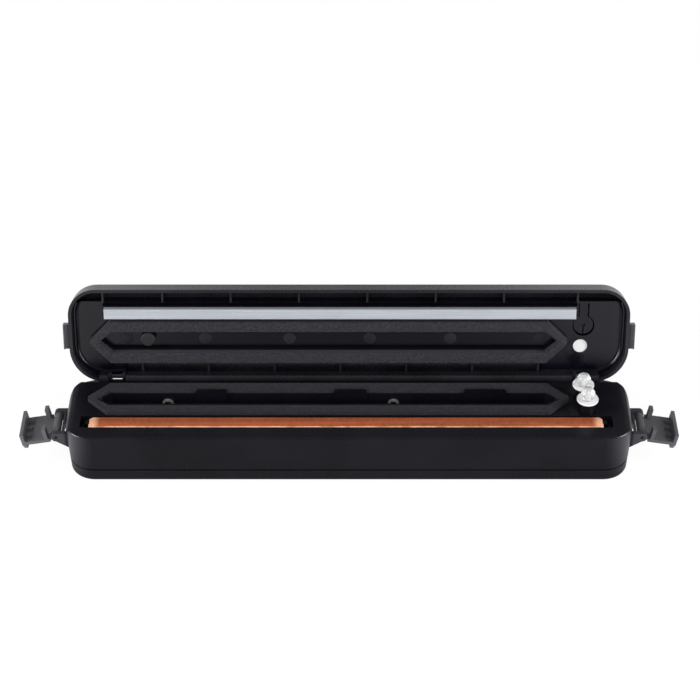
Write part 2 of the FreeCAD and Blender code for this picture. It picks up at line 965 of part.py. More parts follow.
def plunger_dome(x, y):
    """Clear ball-shaped cap on the washer."""
    centre_z = flange_top_z + dome_centre_up
    foot = Part.makeCone(dome_foot_r, dome_r, dome_centre_up, V(x, y, flange_top_z), UP)
    ball = Part.makeSphere(dome_r, V(x, y, centre_z), UP, 0, 90)
    return foot.fuse(ball).removeSplitter()


def plunger_spring(x, y):
    """Room of the coil between the switch and the collar, as a plain sleeve."""
    low_z = floor_z + switch_h + spring_end_gap
    high_z = stem_low_z - spring_end_gap
    outer = post(spring_coil_r + spring_wire_r, x, y, low_z, high_z)
    return outer.cut(post(spring_coil_r - spring_wire_r, x, y, low_z, high_z))


def plunger_switches():
    """Two switches on the floor under the plungers, with the springs on top."""
    button_top_z = stem_low_z - rod_len - plunger_travel - switch_button_gap
    switches = []
    for name, x, y in plunger_spots:
        half_l = switch_l / 2
        half_w = switch_w / 2
        body = block(x - half_l, x + half_l, y - half_w, y + half_w, floor_z, floor_z + switch_h)
        switches.append(body.fuse(post(switch_button_r, x, y, floor_z + switch_h, button_top_z)))
    return Part.makeCompound(switches)


# Latches, drawn shut on the right side and then opened and mirrored
catch_low_z = rim_z + catch_edge_r
catch_top_z = catch_low_z + catch_t
hook_z = catch_top_z + hook_gap
plate_x0 = latch_x + flap_in
plate_x1 = plate_x0 + flap_t


def latch_flap():
    """Flap with its barrel, hook, finger lip and two stop prongs, shut."""
    half_b = arm_pitch / 2 - arm_t / 2 - latch_side_gap
    half_w = flap_w / 2
    top_z = hook_z + hook_t
    start_z = latch_z + flap_start
    pieces = [cross_rod(latch_barrel_r, latch_x, latch_y - half_b, latch_y + half_b, latch_z)]
    pieces.append(block(plate_x0, plate_x1, latch_y - half_b, latch_y + half_b, latch_z, start_z))
    pieces.append(block(plate_x0, plate_x1, latch_y - half_w, latch_y + half_w, start_z, top_z))
    tip = plate_x1 + finger_out
    inner = plate_x0 - hook_in
    half_tip = half_w - finger_cut
    right = [(inner, half_w), (plate_x1, half_w), (tip, half_tip)]
    around = [(x, -y) for x, y in right] + right[::-1]
    pieces.append(prism(polygon([V(x, latch_y + y, hook_z) for x, y in around]), hook_t))
    prong_z = latch_z + prong_up
    prong_x = half_len - base_inset(prong_z + prong_t) + prong_gap
    for edge in (-1, 1):
        outer_y = latch_y + edge * half_w
        inner_y = outer_y - edge * prong_w
        y0 = min(outer_y, inner_y)
        pieces.append(block(prong_x, plate_x0, y0, y0 + prong_w, prong_z, prong_z + prong_t))
    flap = pieces[0].multiFuse(pieces[1:])
    bore_r = latch_pin_r + pin_run_gap
    flap = flap.cut(cross_rod(bore_r, latch_x, latch_y - half_w, latch_y + half_w, latch_z))
    first = latch_y - hook_slot_pitch * (hook_slot_count - 1) / 2
    for index in range(hook_slot_count):
        y0 = first + index * hook_slot_pitch - hook_slot_w / 2
        slot_x1 = plate_x0 + hook_slot_deep
        slot = block(plate_x0, slot_x1, y0, y0 + hook_slot_w, hook_z - hook_slot_w, hook_z)
        flap = flap.cut(slot)
    return flap.removeSplitter()


def opened_flap(side):
    """Flap swung out and down to its open rest, on either end of the body."""
    flap = latch_flap()
    flap.rotate(V(latch_x, 0, latch_z), BACK, latch_open_deg)
    if side < 0:
        flap = flap.mirror(V(0, 0, 0), ALONG)
    return flap


def latch_pin(side):
    """Steel pin through both arms of a bracket."""
    half = (arm_pitch + arm_t) / 2
    return cross_rod(latch_pin_r, side * latch_x, latch_y - half, latch_y + half, latch_z)


# Lid, drawn shut
panel_half_len = half_len - lid_wall - lid_inset(panel_z) - panel_side_gap
panel_back_z = panel_z + panel_t


def lid_catches():
    """Ledges at both ends that the latches hook over."""
    catches = []
    y0 = latch_y + catch_back - catch_len / 2
    for side in (-1, 1):
        root = side * (half_len - lid_wall)
        tip = side * (half_len + catch_out)
        ledge = block(min(root, tip), max(root, tip), y0, y0 + catch_len, catch_low_z, catch_top_z)
        lip_x = tip - side * catch_lip_t
        lip_z = catch_low_z - catch_lip_h
        catches.append(ledge)
        catches.append(block(min(lip_x, tip), max(lip_x, tip), y0, y0 + catch_len, lip_z, catch_low_z))
    return catches


def lid_ribs():
    """Stiffening ribs across the two troughs beside the panel."""
    ribs = []
    low_z = axis_z + rib_low
    front_y0 = -half_dep + lid_wall / 2
    front_y1 = ahead(panel_front_s + rib_gap)
    front_x = [front_rib_first_x + index * front_rib_pitch for index in range(front_rib_count)]
    for x in front_x + [end_rib_left_x, end_rib_right_x]:
        ribs.append(block(x - rib_t / 2, x + rib_t / 2, front_y0, front_y1, low_z, skin_z))
    rear_y0 = ahead(panel_rear_s - rib_gap)
    rear_y1 = half_dep - lid_wall / 2 - lid_draft
    for index in range(rear_rib_count):
        x0 = rear_rib_first_x + index * rear_rib_pitch - rib_t / 2
        ribs.append(block(x0, x0 + rib_t, rear_y0, rear_y1, low_z, skin_z))
    return ribs


panel_screw_y = ahead(ring_s - ring_half_w + ring_bar / 2)
panel_screw_x = [
    ring_x + (index - (panel_screw_count - 1) / 2) * panel_screw_pitch for index in range(panel_screw_count)
]
tongue_x = plunger_front_x
tongue_y = ahead(plunger_front_s)
pad_x = plunger_rear_x
pad_y = ahead(plunger_rear_s)
pad_z = panel_z + pad_sunk


def lid_shell():
    """Outer moulding of the lid with barrel, ribs, bosses and side catches."""
    outer = softened(drafted(rim_z, lid_top_z, 0, lid_draft), lid_top_z, lid_edge_r)
    core = drafted(rim_z, skin_z, lid_wall, lid_wall + lid_inset(skin_z))
    shell = outer.cut(softened(core, skin_z, lid_core_r))
    barrel_half = half_len - plan_r - barrel_end_in
    barrel = rod(barrel_r, -barrel_half, barrel_half, axis_y, axis_z)
    front_y = axis_y - barrel_r
    shaved = block(-half_len, half_len, front_y, axis_y - barrel_front, axis_z - barrel_r, axis_z + barrel_r)
    barrel = barrel.cut(shaved)
    pieces = [barrel] + [rib.common(outer) for rib in lid_ribs()] + lid_catches()
    for x in panel_screw_x:
        pieces.append(post(lid_boss_r, x, panel_screw_y, panel_back_z, skin_z + lid_skin / 2))
    shell = shell.multiFuse(pieces)
    for side in (-1, 1):
        x0 = side * hinge_x - notch_w / 2
        shell = shell.cut(
            block(x0, x0 + notch_w, axis_y - clear_r, half_dep, axis_z - clear_r, axis_z + ear_neck_w)
        )
        shell = shell.cut(hinge_pin_body(side, pin_hold_gap))
    for x in panel_screw_x:
        shell = shell.cut(panel_screw(x, 0))
    shell = shell.cut(post(button_r + button_gap, tongue_x, tongue_y, panel_z, lid_top_z))
    return shell.removeSplitter()


def hinge_pin_body(side, grow):
    """Round pin through a notch and into the barrel on both sides of it."""
    half = notch_w / 2 + pin_in_lid
    return rod(pin_r + grow, side * hinge_x - half, side * hinge_x + half, axis_y, axis_z)


def keyhole(grow, depth_0, depth_1):
    """Round tongue with a neck that runs to the front edge of the panel."""
    z0 = panel_z + depth_0
    z1 = panel_z + depth_1
    half_neck = tongue_neck_w / 2 + grow
    front_y = ahead(panel_front_s - skirt_t) + tongue_root_gap - grow
    front_y = max(front_y, ahead(panel_front_s - skirt_t))
    neck = block(tongue_x - half_neck, tongue_x + half_neck, front_y, tongue_y, z0, z1)
    return neck.fuse(post(tongue_r + grow, tongue_x, tongue_y, z0, z1))


def coved_plate(y0, y1):
    """Plate that follows the walls of the lid at both ends, with an upturned edge there."""
    inset = lid_wall + lid_inset(panel_back_z) + panel_side_gap
    low_z = panel_z - cove_h
    dish = prism(body_outline(inset, low_z), cove_h + panel_t)
    room = prism(body_outline(inset + cove_t, low_z), cove_h)
    dish = dish.cut(softened(room, panel_z, cove_r))
    middle = block(trough_left_x, trough_right_x, y0, y1, low_z, panel_back_z)
    left = block(-half_len, trough_left_x, y0, half_dep, low_z, panel_back_z)
    right = block(trough_right_x, half_len, y0, half_dep, low_z, panel_back_z)
    return dish.common(middle.multiFuse([left, right]).removeSplitter())


def lid_panel():
    """Inner panel with gasket bed, chamber recess, strip rail and front and back skirts."""
    y0 = ahead(panel_front_s)
    y1 = ahead(panel_rear_s)
    plate = coved_plate(y0, y1)
    skirt_top_z = skin_z - skirt_gap
    skirt_half = panel_half_len - skirt_in
    pieces = [block(-skirt_half, skirt_half, y0, y0 + skirt_t, panel_z, skirt_top_z)]
    pieces.append(block(trough_left_x, trough_right_x, y1 - skirt_t, y1, panel_z, skirt_top_z))
    pieces.append(prism(ring_hole(panel_z, -lid_chamber_t), lid_chamber_deep + lid_chamber_t))
    rail_y = ahead(strip_s)
    rail_x0 = strip_left_x - rail_end
    rail_x1 = strip_right_x + rail_end
    rail_z = strip_face_z + strip_h
    pieces.append(block(rail_x0, rail_x1, rail_y - rail_w / 2, rail_y + rail_w / 2, rail_z, panel_back_z))
    panel = plate.multiFuse(pieces)
    panel = panel.cut(prism(ring_hole(panel_z, lid_chamber_in), lid_chamber_deep))
    foot_half = strip_foot_w / 2 + strip_fit
    foot_top_z = rail_z + strip_foot_h + strip_fit
    panel = panel.cut(block(rail_x0, rail_x1, rail_y - foot_half, rail_y + foot_half, rail_z, foot_top_z))
    panel = panel.cut(keyhole(tongue_slot, 0, panel_t))
    panel = panel.cut(post(pad_r + pad_gap, pad_x, pad_y, panel_z, panel_back_z))
    for x in panel_screw_x:
        panel = panel.cut(panel_screw(x, panel_screw_gap))
    floor_low_z = panel_z + lid_chamber_deep
    marks = []
    for index in range(mark_count):
        x = mark_first_x + index * mark_pitch
        marks.append(post(mark_r, x, ring_y, floor_low_z - mark_h, floor_low_z))
    return panel.multiFuse(marks).removeSplitter()


def upper_gasket():
    """Foam ring on the lid panel."""
    face_z = axis_z + ring_meet_n + ring_meet_gap / 2
    return gasket(face_z, panel_z, face_z)


def lower_gasket():
    """Foam ring in the deck."""
    face_z = axis_z + ring_meet_n - ring_meet_gap / 2
    return gasket(ring_seat_z, face_z, face_z)


def seal_strip():
    """Soft strip that presses the bag on the heater."""
    y = ahead(strip_s)
    half_w = strip_w / 2
    back_z = strip_face_z + strip_h
    bar = block(strip_left_x, strip_right_x, y - half_w, y + half_w, strip_face_z, back_z)
    bar = softened(bar, strip_face_z, strip_edge_r)
    foot_half = strip_foot_w / 2
    foot = block(strip_left_x, strip_right_x, y - foot_half, y + foot_half, back_z, back_z + strip_foot_h)
    return bar.fuse(foot).removeSplitter()


def vent_plug():
    """Round rubber plug on the chamber floor of the lid."""
    floor_low_z = panel_z + lid_chamber_deep
    y = ahead(plug_s)
    top_z = floor_low_z - plug_h
    head = softened(post(plug_r, plug_x, y, top_z, top_z + plug_head_h), top_z, plug_edge_r)
    return head.fuse(post(plug_stem_r, plug_x, y, top_z + plug_head_h, floor_low_z)).removeSplitter()


def push_pad():
    """White disc in the panel that meets the rear plunger."""
    disc = softened(post(pad_r, pad_x, pad_y, pad_z, pad_z + pad_t), pad_z, flange_edge_r)
    return disc.fuse(post(pad_stem_r, pad_x, pad_y, pad_z + pad_t, skin_z)).removeSplitter()


def press_tongue():
    """Keyhole-shaped tongue over the front plunger."""
    tongue = keyhole(0, tongue_sunk, tongue_sunk + tongue_t)
    z0 = panel_z + tongue_sunk
    z1 = z0 + tongue_t
    half_slit = tongue_slit_w / 2
    slit = block(tongue_x - half_slit, tongue_x + half_slit, tongue_y, tongue_y + tongue_r, z0, z1)
    return tongue.cut(slit).cut(post(tongue_hole_r, tongue_x, tongue_y, z0, z1)).removeSplitter()


def lid_button():
    """Round button on top of the lid, carried by the tongue."""
    low_z = panel_z + tongue_sunk + tongue_t
    top_z = lid_top_z + button_up
    cap_low_z = skin_z - tongue_t
    cap = softened(post(button_r, tongue_x, tongue_y, cap_low_z, top_z), top_z, button_edge_r)
    dish_r = (button_r ** 2 + button_dish_deep ** 2) / (2 * button_dish_deep)
    cap = cap.cut(Part.makeSphere(dish_r, V(tongue_x, tongue_y, top_z + dish_r - button_dish_deep)))
    stem = post(button_stem_r, tongue_x, tongue_y, low_z, cap_low_z)
    flange_r = button_r + button_gap + button_flange_out
    flange = post(flange_r, tongue_x, tongue_y, cap_low_z, cap_low_z + button_flange_t)
    return cap.multiFuse([stem, flange]).removeSplitter()


def panel_screw(x, grow):
    """Sunk-head screw through the panel into a boss of the lid, or the room for one."""
    head_r = panel_screw_head_r + grow
    shank_r = panel_screw_r + grow
    head = Part.makeCone(head_r, shank_r, head_r - shank_r, V(x, panel_screw_y, panel_z), UP)
    return head.fuse(post(shank_r, x, panel_screw_y, panel_z, skin_z - lid_skin)).removeSplitter()


def panel_screws():
    """Screws below the gasket that hold the panel to the lid."""
    return Part.makeCompound([panel_screw(x, 0) for x in panel_screw_x])


# Power inlet
inlet_face_y = half_dep - base_inset(inlet_z + inlet_h / 2)


def inlet_body():
    """Two-lobed socket set in the back wall."""
    half_w = inlet_w / 2
    half_h = inlet_h / 2
    inner_y = inlet_face_y - inlet_deep
    low_z = inlet_z - half_h
    body = block(inlet_x - half_w, inlet_x + half_w, inner_y, inlet_face_y, low_z, low_z + inlet_h)
    flange_y1 = half_dep - base_inset(inlet_z - half_h) - wall - inlet_flange_gap
    flange_y0 = flange_y1 - inlet_flange_t
    wide = half_w + inlet_flange
    tall = half_h + inlet_fit
    flange = block(inlet_x - wide, inlet_x + wide, flange_y0, flange_y1, inlet_z - tall, inlet_z + tall)
    body = body.fuse(flange)
    hollow_y0 = inlet_face_y - inlet_hollow
    half_p = inlet_pitch / 2
    for x in (inlet_x - half_p, inlet_x + half_p):
        body = body.cut(cross_rod(inlet_lobe_r, x, hollow_y0, inlet_face_y, inlet_z))
        body = body.cut(cross_rod(inlet_pin_r + pin_hold_gap, x, inner_y, hollow_y0, inlet_z))
    waist = inlet_lobe_r - part_edge_r
    x0 = inlet_x - half_p
    middle = block(x0, x0 + inlet_pitch, hollow_y0, inlet_face_y, inlet_z - waist, inlet_z + waist)
    return body.cut(middle).removeSplitter()


def inlet_pins():
    """Two contact pins with their solder tails."""
    hollow_y0 = inlet_face_y - inlet_hollow
    low_y = inlet_face_y - inlet_deep - inlet_tail_len
    high_y = hollow_y0 + inlet_pin_len
    half_p = inlet_pitch / 2
    pins = [cross_rod(inlet_pin_r, x, low_y, high_y, inlet_z) for x in (inlet_x - half_p, inlet_x + half_p)]
    return Part.makeCompound(pins)


# Pump and electrics
motor_x1 = pump_x + motor_len
head_x1 = motor_x1 + head_len


def pump_motor():
    """Motor can with a bearing boss at its free end."""
    can = rod(motor_r, pump_x, motor_x1, pump_y, pump_z)
    return can.fuse(rod(motor_boss_r, pump_x - motor_boss_len, pump_x, pump_y, pump_z)).removeSplitter()


def pump_head():
    """Round pump head with two flats, a band and a nozzle."""
    body = rod(head_r, motor_x1, head_x1, pump_y, pump_z)
    flats = block(motor_x1, head_x1, pump_y - head_r, pump_y + head_r, pump_z - head_flat, pump_z + head_flat)
    body = body.common(flats)
    band_x = motor_x1 + head_len / 2
    groove = rod(head_r, band_x, band_x + head_band_w, pump_y, pump_z)
    groove = groove.cut(rod(head_flat - head_band, band_x, band_x + head_band_w, pump_y, pump_z))
    body = body.cut(groove)
    return body.fuse(rod(nozzle_r, head_x1, head_x1 + nozzle_len, pump_y, pump_z)).removeSplitter()


def pump_saddles():
    """Two rubber saddles between the pump and the floor."""
    saddles = []
    for x in (pump_x + saddle_inset, head_x1 - saddle_inset - saddle_w):
        half = motor_r - saddle_t
        seat = block(x, x + saddle_w, pump_y - half, pump_y + half, floor_z, pump_z - saddle_t)
        saddles.append(seat.cut(rod(head_r + saddle_gap, x, x + saddle_w, pump_y, pump_z)))
    return Part.makeCompound(saddles)


def routed(points):
    """Path of straight runs joined by tangent arcs that are as large as the runs allow."""
    edges = []
    last = points[0]
    for before, corner, after in zip(points, points[1:], points[2:]):
        back = (before - corner).normalize()
        on = (after - corner).normalize()
        reach = hose_arc_share * min((before - corner).Length, (after - corner).Length)
        first = corner + back * reach
        end = corner + on * reach
        half_turn = (math.pi - back.getAngle(on)) / 2
        inward = (back + on).normalize()
        radius = reach / math.tan(half_turn)
        middle = corner + inward * (radius / math.cos(half_turn) - radius)
        edges.append(Part.makeLine(last, first))
        edges.append(Part.Arc(first, middle, end).toShape())
        last = end
    edges.append(Part.makeLine(last, points[-1]))
    return Part.Wire(edges)


def tube(path, outer_r, inner_r):
    """Hose along a path."""
    start = path.Vertexes[0].Point
    along = path.Edges[0].tangentAt(path.Edges[0].FirstParameter)
    solids = []
    for r in (outer_r, inner_r):
        ring = Part.Wire(Part.makeCircle(r, start, along))
        solids.append(path.makePipeShell([ring], True, False))
    return solids[0].cut(solids[1])


def vacuum_hose():
    """Hose from the pump's nozzle under the chamber to the right air way."""
    low_z = floor_z + hose_r + board_up
    points = [
        V(head_x1 + part_edge_r, pump_y, pump_z),
        V(hose_drop_x, pump_y, pump_z),
        V((hose_drop_x + port_right_x) / 2, (pump_y + nipple_y) / 2, low_z),
        V(port_right_x, nipple_y, low_z),
        V(port_right_x, nipple_y, nipple_low_z + sensor_hose_lap),
    ]
    return tube(routed(points), hose_r, max(nozzle_r, port_nipple_r) + hose_fit)


sensor_z = board_z + board_t


def circuit_board():
    """Board on the posts of the cover."""
    return block(board_left_x, board_right_x, board_front_y, board_rear_y, board_z, board_z + board_t)


def pressure_sensor():
    """Sensor on the board below the left air way, with its nipple up."""
    half_l = sensor_l / 2
    half_w = sensor_w / 2
    x = port_left_x
    top_z = sensor_z + sensor_h
    body = block(x - half_l, x + half_l, nipple_y - half_w, nipple_y + half_w, sensor_z, top_z)
    return body.fuse(post(port_nipple_r, x, nipple_y, top_z, top_z + sensor_nipple_h))


def sensor_hose():
    """Short straight hose from the sensor to the left air way."""
    low_z = sensor_z + sensor_h + part_edge_r
    high_z = nipple_low_z + sensor_hose_lap
    outer = post(hose_r, port_left_x, nipple_y, low_z, high_z)
    return outer.cut(post(port_nipple_r + hose_fit, port_left_x, nipple_y, low_z, high_z))


def relay():
    """Switching relay on the board."""
    half_l = relay_l / 2
    half_w = relay_w / 2
    top_z = sensor_z + relay_h
    case = block(relay_x - half_l, relay_x + half_l, relay_y - half_w, relay_y + half_w, sensor_z, top_z)
    return softened(case, top_z, part_edge_r)


def capacitor():
    """Smoothing capacitor on the board with a rolled rim."""
    can = post(capacitor_r, capacitor_x, capacitor_y, sensor_z, sensor_z + capacitor_h)
    can = softened(can, sensor_z + capacitor_h, part_edge_r)
    neck_z = sensor_z + capacitor_sleeve_in + part_edge_r
    neck_r = capacitor_r - capacitor_sleeve_in
    groove = post(capacitor_r, capacitor_x, capacitor_y, neck_z, neck_z + part_edge_r)
    return can.cut(groove.cut(post(neck_r, capacitor_x, capacitor_y, neck_z, neck_z + part_edge_r)))


window_w = (core_l - 2 * core_limb - core_middle) / 2
window_h = core_h - 2 * core_limb
core_y0 = core_y - core_w / 2
core_y1 = core_y + core_w / 2
window_z = floor_z + core_limb


def transformer_core():
    """Three-limbed iron core."""
    core = block(core_x - core_l / 2, core_x + core_l / 2, core_y0, core_y1, floor_z, floor_z + core_h)
    for side in (-1, 1):
        near = core_x + side * core_middle / 2
        x0 = min(near, near + side * window_w)
        core = core.cut(block(x0, x0 + window_w, core_y0, core_y1, window_z, window_z + window_h))
    return core


def transformer_coil():
    """Winding round the middle limb."""
    half_l = core_middle / 2 + window_w - coil_gap
    low_z = window_z + coil_gap
    high_z = window_z + window_h - coil_gap
    radii = [coil_t / 2] * 4
    outer = rounded(core_x - half_l, core_x + half_l, core_y0 - coil_t, core_y1 + coil_t, radii, low_z)
    hole_x = core_middle / 2 + coil_gap
    hole = block(core_x - hole_x, core_x + hole_x, core_y0 - coil_gap, core_y1 + coil_gap, low_z, high_z)
    return prism(outer, high_z - low_z).cut(hole)


base_pieces = (
    base_housing, bottom_cover, rubber_feet, bottom_screws, lower_gasket, heater_bar, heating_ribbon,
    heater_tape, heater_clips, suction_eyelets, plunger_switches, inlet_body, inlet_pins, pump_motor,
    pump_head, pump_saddles, vacuum_hose, circuit_board, pressure_sensor, sensor_hose, relay, capacitor,
    transformer_core, transformer_coil,
)
lid_pieces = (
    lid_shell, lid_panel, upper_gasket, seal_strip, vent_plug, push_pad, press_tongue, lid_button,
    panel_screws,
)
plunger_pieces = (
    ("stem", plunger_stem), ("flange", plunger_flange), ("dome", plunger_dome), ("spring", plunger_spring),
)

for piece in base_pieces:
    keep(piece.__name__, piece())
for piece in lid_pieces:
    keep(piece.__name__, open_lid(piece()))
for spot, x, y in plunger_spots:
    for label, piece in plunger_pieces:
        keep(spot + "_" + label, piece(x, y))
for label, side in (("left", -1), ("right", 1)):
    keep("latch_flap_" + label, opened_flap(side))
    keep("latch_pin_" + label, latch_pin(side))
    keep("hinge_pin_" + label, open_lid(hinge_pin_body(side, 0)))
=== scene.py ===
import json
import logging
import math
from collections.abc import Callable
from dataclasses import dataclass
from enum import Enum

import bmesh
import bpy
from mathutils import Matrix, Vector


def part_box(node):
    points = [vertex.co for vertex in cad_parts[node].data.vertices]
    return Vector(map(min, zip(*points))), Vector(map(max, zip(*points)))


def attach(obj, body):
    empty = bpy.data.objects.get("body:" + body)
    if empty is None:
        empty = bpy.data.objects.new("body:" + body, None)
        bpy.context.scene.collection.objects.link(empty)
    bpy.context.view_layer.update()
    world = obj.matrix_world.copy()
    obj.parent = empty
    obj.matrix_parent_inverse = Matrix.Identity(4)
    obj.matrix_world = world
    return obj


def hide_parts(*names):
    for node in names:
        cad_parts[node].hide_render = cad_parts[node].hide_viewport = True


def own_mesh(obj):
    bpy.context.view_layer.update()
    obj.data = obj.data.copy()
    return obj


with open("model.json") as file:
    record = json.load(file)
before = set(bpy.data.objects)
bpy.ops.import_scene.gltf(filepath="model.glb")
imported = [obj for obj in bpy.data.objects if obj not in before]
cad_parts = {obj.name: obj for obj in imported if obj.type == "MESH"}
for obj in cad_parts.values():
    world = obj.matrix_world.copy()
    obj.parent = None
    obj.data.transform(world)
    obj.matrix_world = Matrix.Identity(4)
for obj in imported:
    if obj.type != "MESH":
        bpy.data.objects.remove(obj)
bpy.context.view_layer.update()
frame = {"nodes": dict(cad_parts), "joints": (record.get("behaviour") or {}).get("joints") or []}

LOG = logging.getLogger("sealer")
MM = 0.001
NEAR = 0.01 * MM
WELD = 0.002 * MM
Rgb = tuple[float, float, float]
WHITE = (1.0, 1.0, 1.0, 1.0)
COOL = (0.94, 0.93, 1.0)


class Body(Enum):
    """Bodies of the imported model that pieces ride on."""

    BASE = "base"
    LID = "lid"
    FRONT_PLUNGER = "front_plunger"
    REAR_PLUNGER = "rear_plunger"


class Element(Enum):
    """What a selection in edit mode is made of."""

    CORNER = "VERT"
    EDGE = "EDGE"
    FACE = "FACE"


class Value:
    """A shader socket that Python's operators work on."""

    def __init__(self, graph: "Graph", socket: bpy.types.NodeSocket) -> None:
        """Keeps the socket and the graph that it belongs to."""
        self.graph = graph
        self.socket = socket

    def _math(self, operation: str, *operands: "Value | float") -> "Value":
        """Adds one Math node.

        Args:
            operation: Blender's name of the sum.
            operands: Values or numbers, in order.

        Returns:
            The node's result.
        """
        return self.graph.add("ShaderNodeMath", {"operation": operation}, dict(enumerate(operands)))

    def __add__(self, other: "Value | float") -> "Value":
        """Sum."""
        return self._math("ADD", self, other)

    def __radd__(self, other: float) -> "Value":
        """Sum with a number in front."""
        return self._math("ADD", other, self)

    def __sub__(self, other: "Value | float") -> "Value":
        """Difference."""
        return self._math("SUBTRACT", self, other)

    def __rsub__(self, other: float) -> "Value":
        """Difference from a number."""
        return self._math("SUBTRACT", other, self)

    def __mul__(self, other: "Value | float") -> "Value":
        """Product."""
        return self._math("MULTIPLY", self, other)

    def __rmul__(self, other: float) -> "Value":
        """Product with a number in front."""
        return self._math("MULTIPLY", other, self)

    def __abs__(self) -> "Value":
        """Size without sign."""
        return self._math("ABSOLUTE", self)

    def sine(self) -> "Value":
        """Sine of an angle in radians."""
        return self._math("SINE", self)

    def larger(self, other: "Value | float") -> "Value":
        """The larger of two."""
        return self._math("MAXIMUM", self, other)

    def step(self, low: float, high: float) -> "Value":
        """Smooth climb from 0 to 1.

        Args:
            low: Where the climb starts.
            high: Where it ends.

        Returns:
            The climbed value.
        """
        settings = {"interpolation_type": "SMOOTHSTEP"}
        return self.graph.add("ShaderNodeMapRange", settings, {0: self, 1: low, 2: high, 3: 0.0, 4: 1.0})


class Graph:
    """The node graph of one material or of the world."""

    def __init__(self, tree: bpy.types.NodeTree) -> None:
        """Empties the tree and keeps it."""
        tree.nodes.clear()
        self.tree = tree

    def add(self, kind: str, settings: dict | None = None, inputs: dict | None = None,
            output: int | str = 0) -> Value | None:
        """Adds any node.

        Args:
            kind: Blender's type of the node.
            settings: Properties of the node, set first.
            inputs: Numbers, colours or values for its sockets, by name or index.
            output: The socket that is handed back.

        Returns:
            The chosen output, or None on a node that has none.
        """
        node = self.tree.nodes.new(kind)
        for key, value in (settings or {}).items():
            setattr(node, key, value)
        for key, value in (inputs or {}).items():
            if isinstance(value, Value):
                self.tree.links.new(value.socket, node.inputs[key])
            else:
                node.inputs[key].default_value = value
        return Value(self, node.outputs[output]) if len(node.outputs) else None

    def place(self) -> Value:
        """Position on the object, in metres of the shared frame."""
        return self.add("ShaderNodeTexCoord", output="Object")

    def axes(self) -> tuple[Value, Value, Value]:
        """X, Y and Z of the position, one value each."""
        place = self.place()
        return tuple(self.add("ShaderNodeSeparateXYZ", {}, {0: place}, axis) for axis in "XYZ")

    def stretched(self, shares: Rgb) -> Value:
        """Position with each axis scaled, for streaks.

        Args:
            shares: Factor of each axis. A small one draws the pattern out along it.

        Returns:
            The scaled position.
        """
        return self.add("ShaderNodeMapping", {}, {"Vector": self.place(), "Scale": shares})

    def noise(self, size_mm: float, detail: float = 2.0, place: Value | None = None) -> Value:
        """Soft noise from 0 to 1.

        Args:
            size_mm: Size of its patches.
            detail: Finer layers on top.
            place: Position to read, the plain one if left out.

        Returns:
            The noise.
        """
        inputs = {"Vector": place or self.place(), "Scale": 1.0 / (size_mm * MM), "Detail": detail}
        return self.add("ShaderNodeTexNoise", {}, inputs)

    def cells(self, size_mm: float) -> Value:
        """Distance to the middle of irregular cells, from 0 to about 1."""
        return self.add("ShaderNodeTexVoronoi", {}, {"Vector": self.place(), "Scale": 1.0 / (size_mm * MM)})

    def mix(self, share: "Value | float", first: "Value | tuple", second: "Value | tuple") -> Value:
        """Colour between two.

        Args:
            share: 0 for the first colour, 1 for the second.
            first: Colour or value.
            second: Colour or value.

        Returns:
            The mixed colour.
        """
        return self.add("ShaderNodeMix", {"data_type": "RGBA"}, {0: share, 6: first, 7: second}, 2)

    def bump(self, height: Value, depth_mm: float, strength: float = 1.0) -> Value:
        """Normal that a height gives.

        Args:
            height: Relief from 0 to 1.
            depth_mm: How deep the relief is.
            strength: Share of the relief that is used.

        Returns:
            The bent normal.
        """
        inputs = {"Strength": strength, "Distance": depth_mm * MM, "Height": height}
        return self.add("ShaderNodeBump", {}, inputs)

    def surface(self, inputs: dict) -> Value:
        """Principled shader with the given sockets."""
        return self.add("ShaderNodeBsdfPrincipled", {}, inputs)


def shade(colour: Rgb, share: float) -> tuple[float, float, float, float]:
    """Colour made lighter or darker.

    Args:
        colour: Linear red, green and blue.
        share: Factor on all three.

    Returns:
        The colour with its alpha.
    """
    return (*(min(1.0, part * share) for part in colour), 1.0)


@dataclass(frozen=True)
class Finish:
    """What every finish has: a name and a way to become a material."""

    name: str

    def shader(self, graph: Graph) -> Value:
        """Builds the finish's shader in a graph."""
        raise NotImplementedError

    def material(self) -> bpy.types.Material:
        """Material of this finish, made once.

        Returns:
            The material.
        """
        made = bpy.data.materials.get(self.name)
        if made is None:
            made = bpy.data.materials.new(self.name)
            made.use_nodes = True
            graph = Graph(made.node_tree)
            graph.add("ShaderNodeOutputMaterial", {}, {"Surface": self.shader(graph)})
        return made


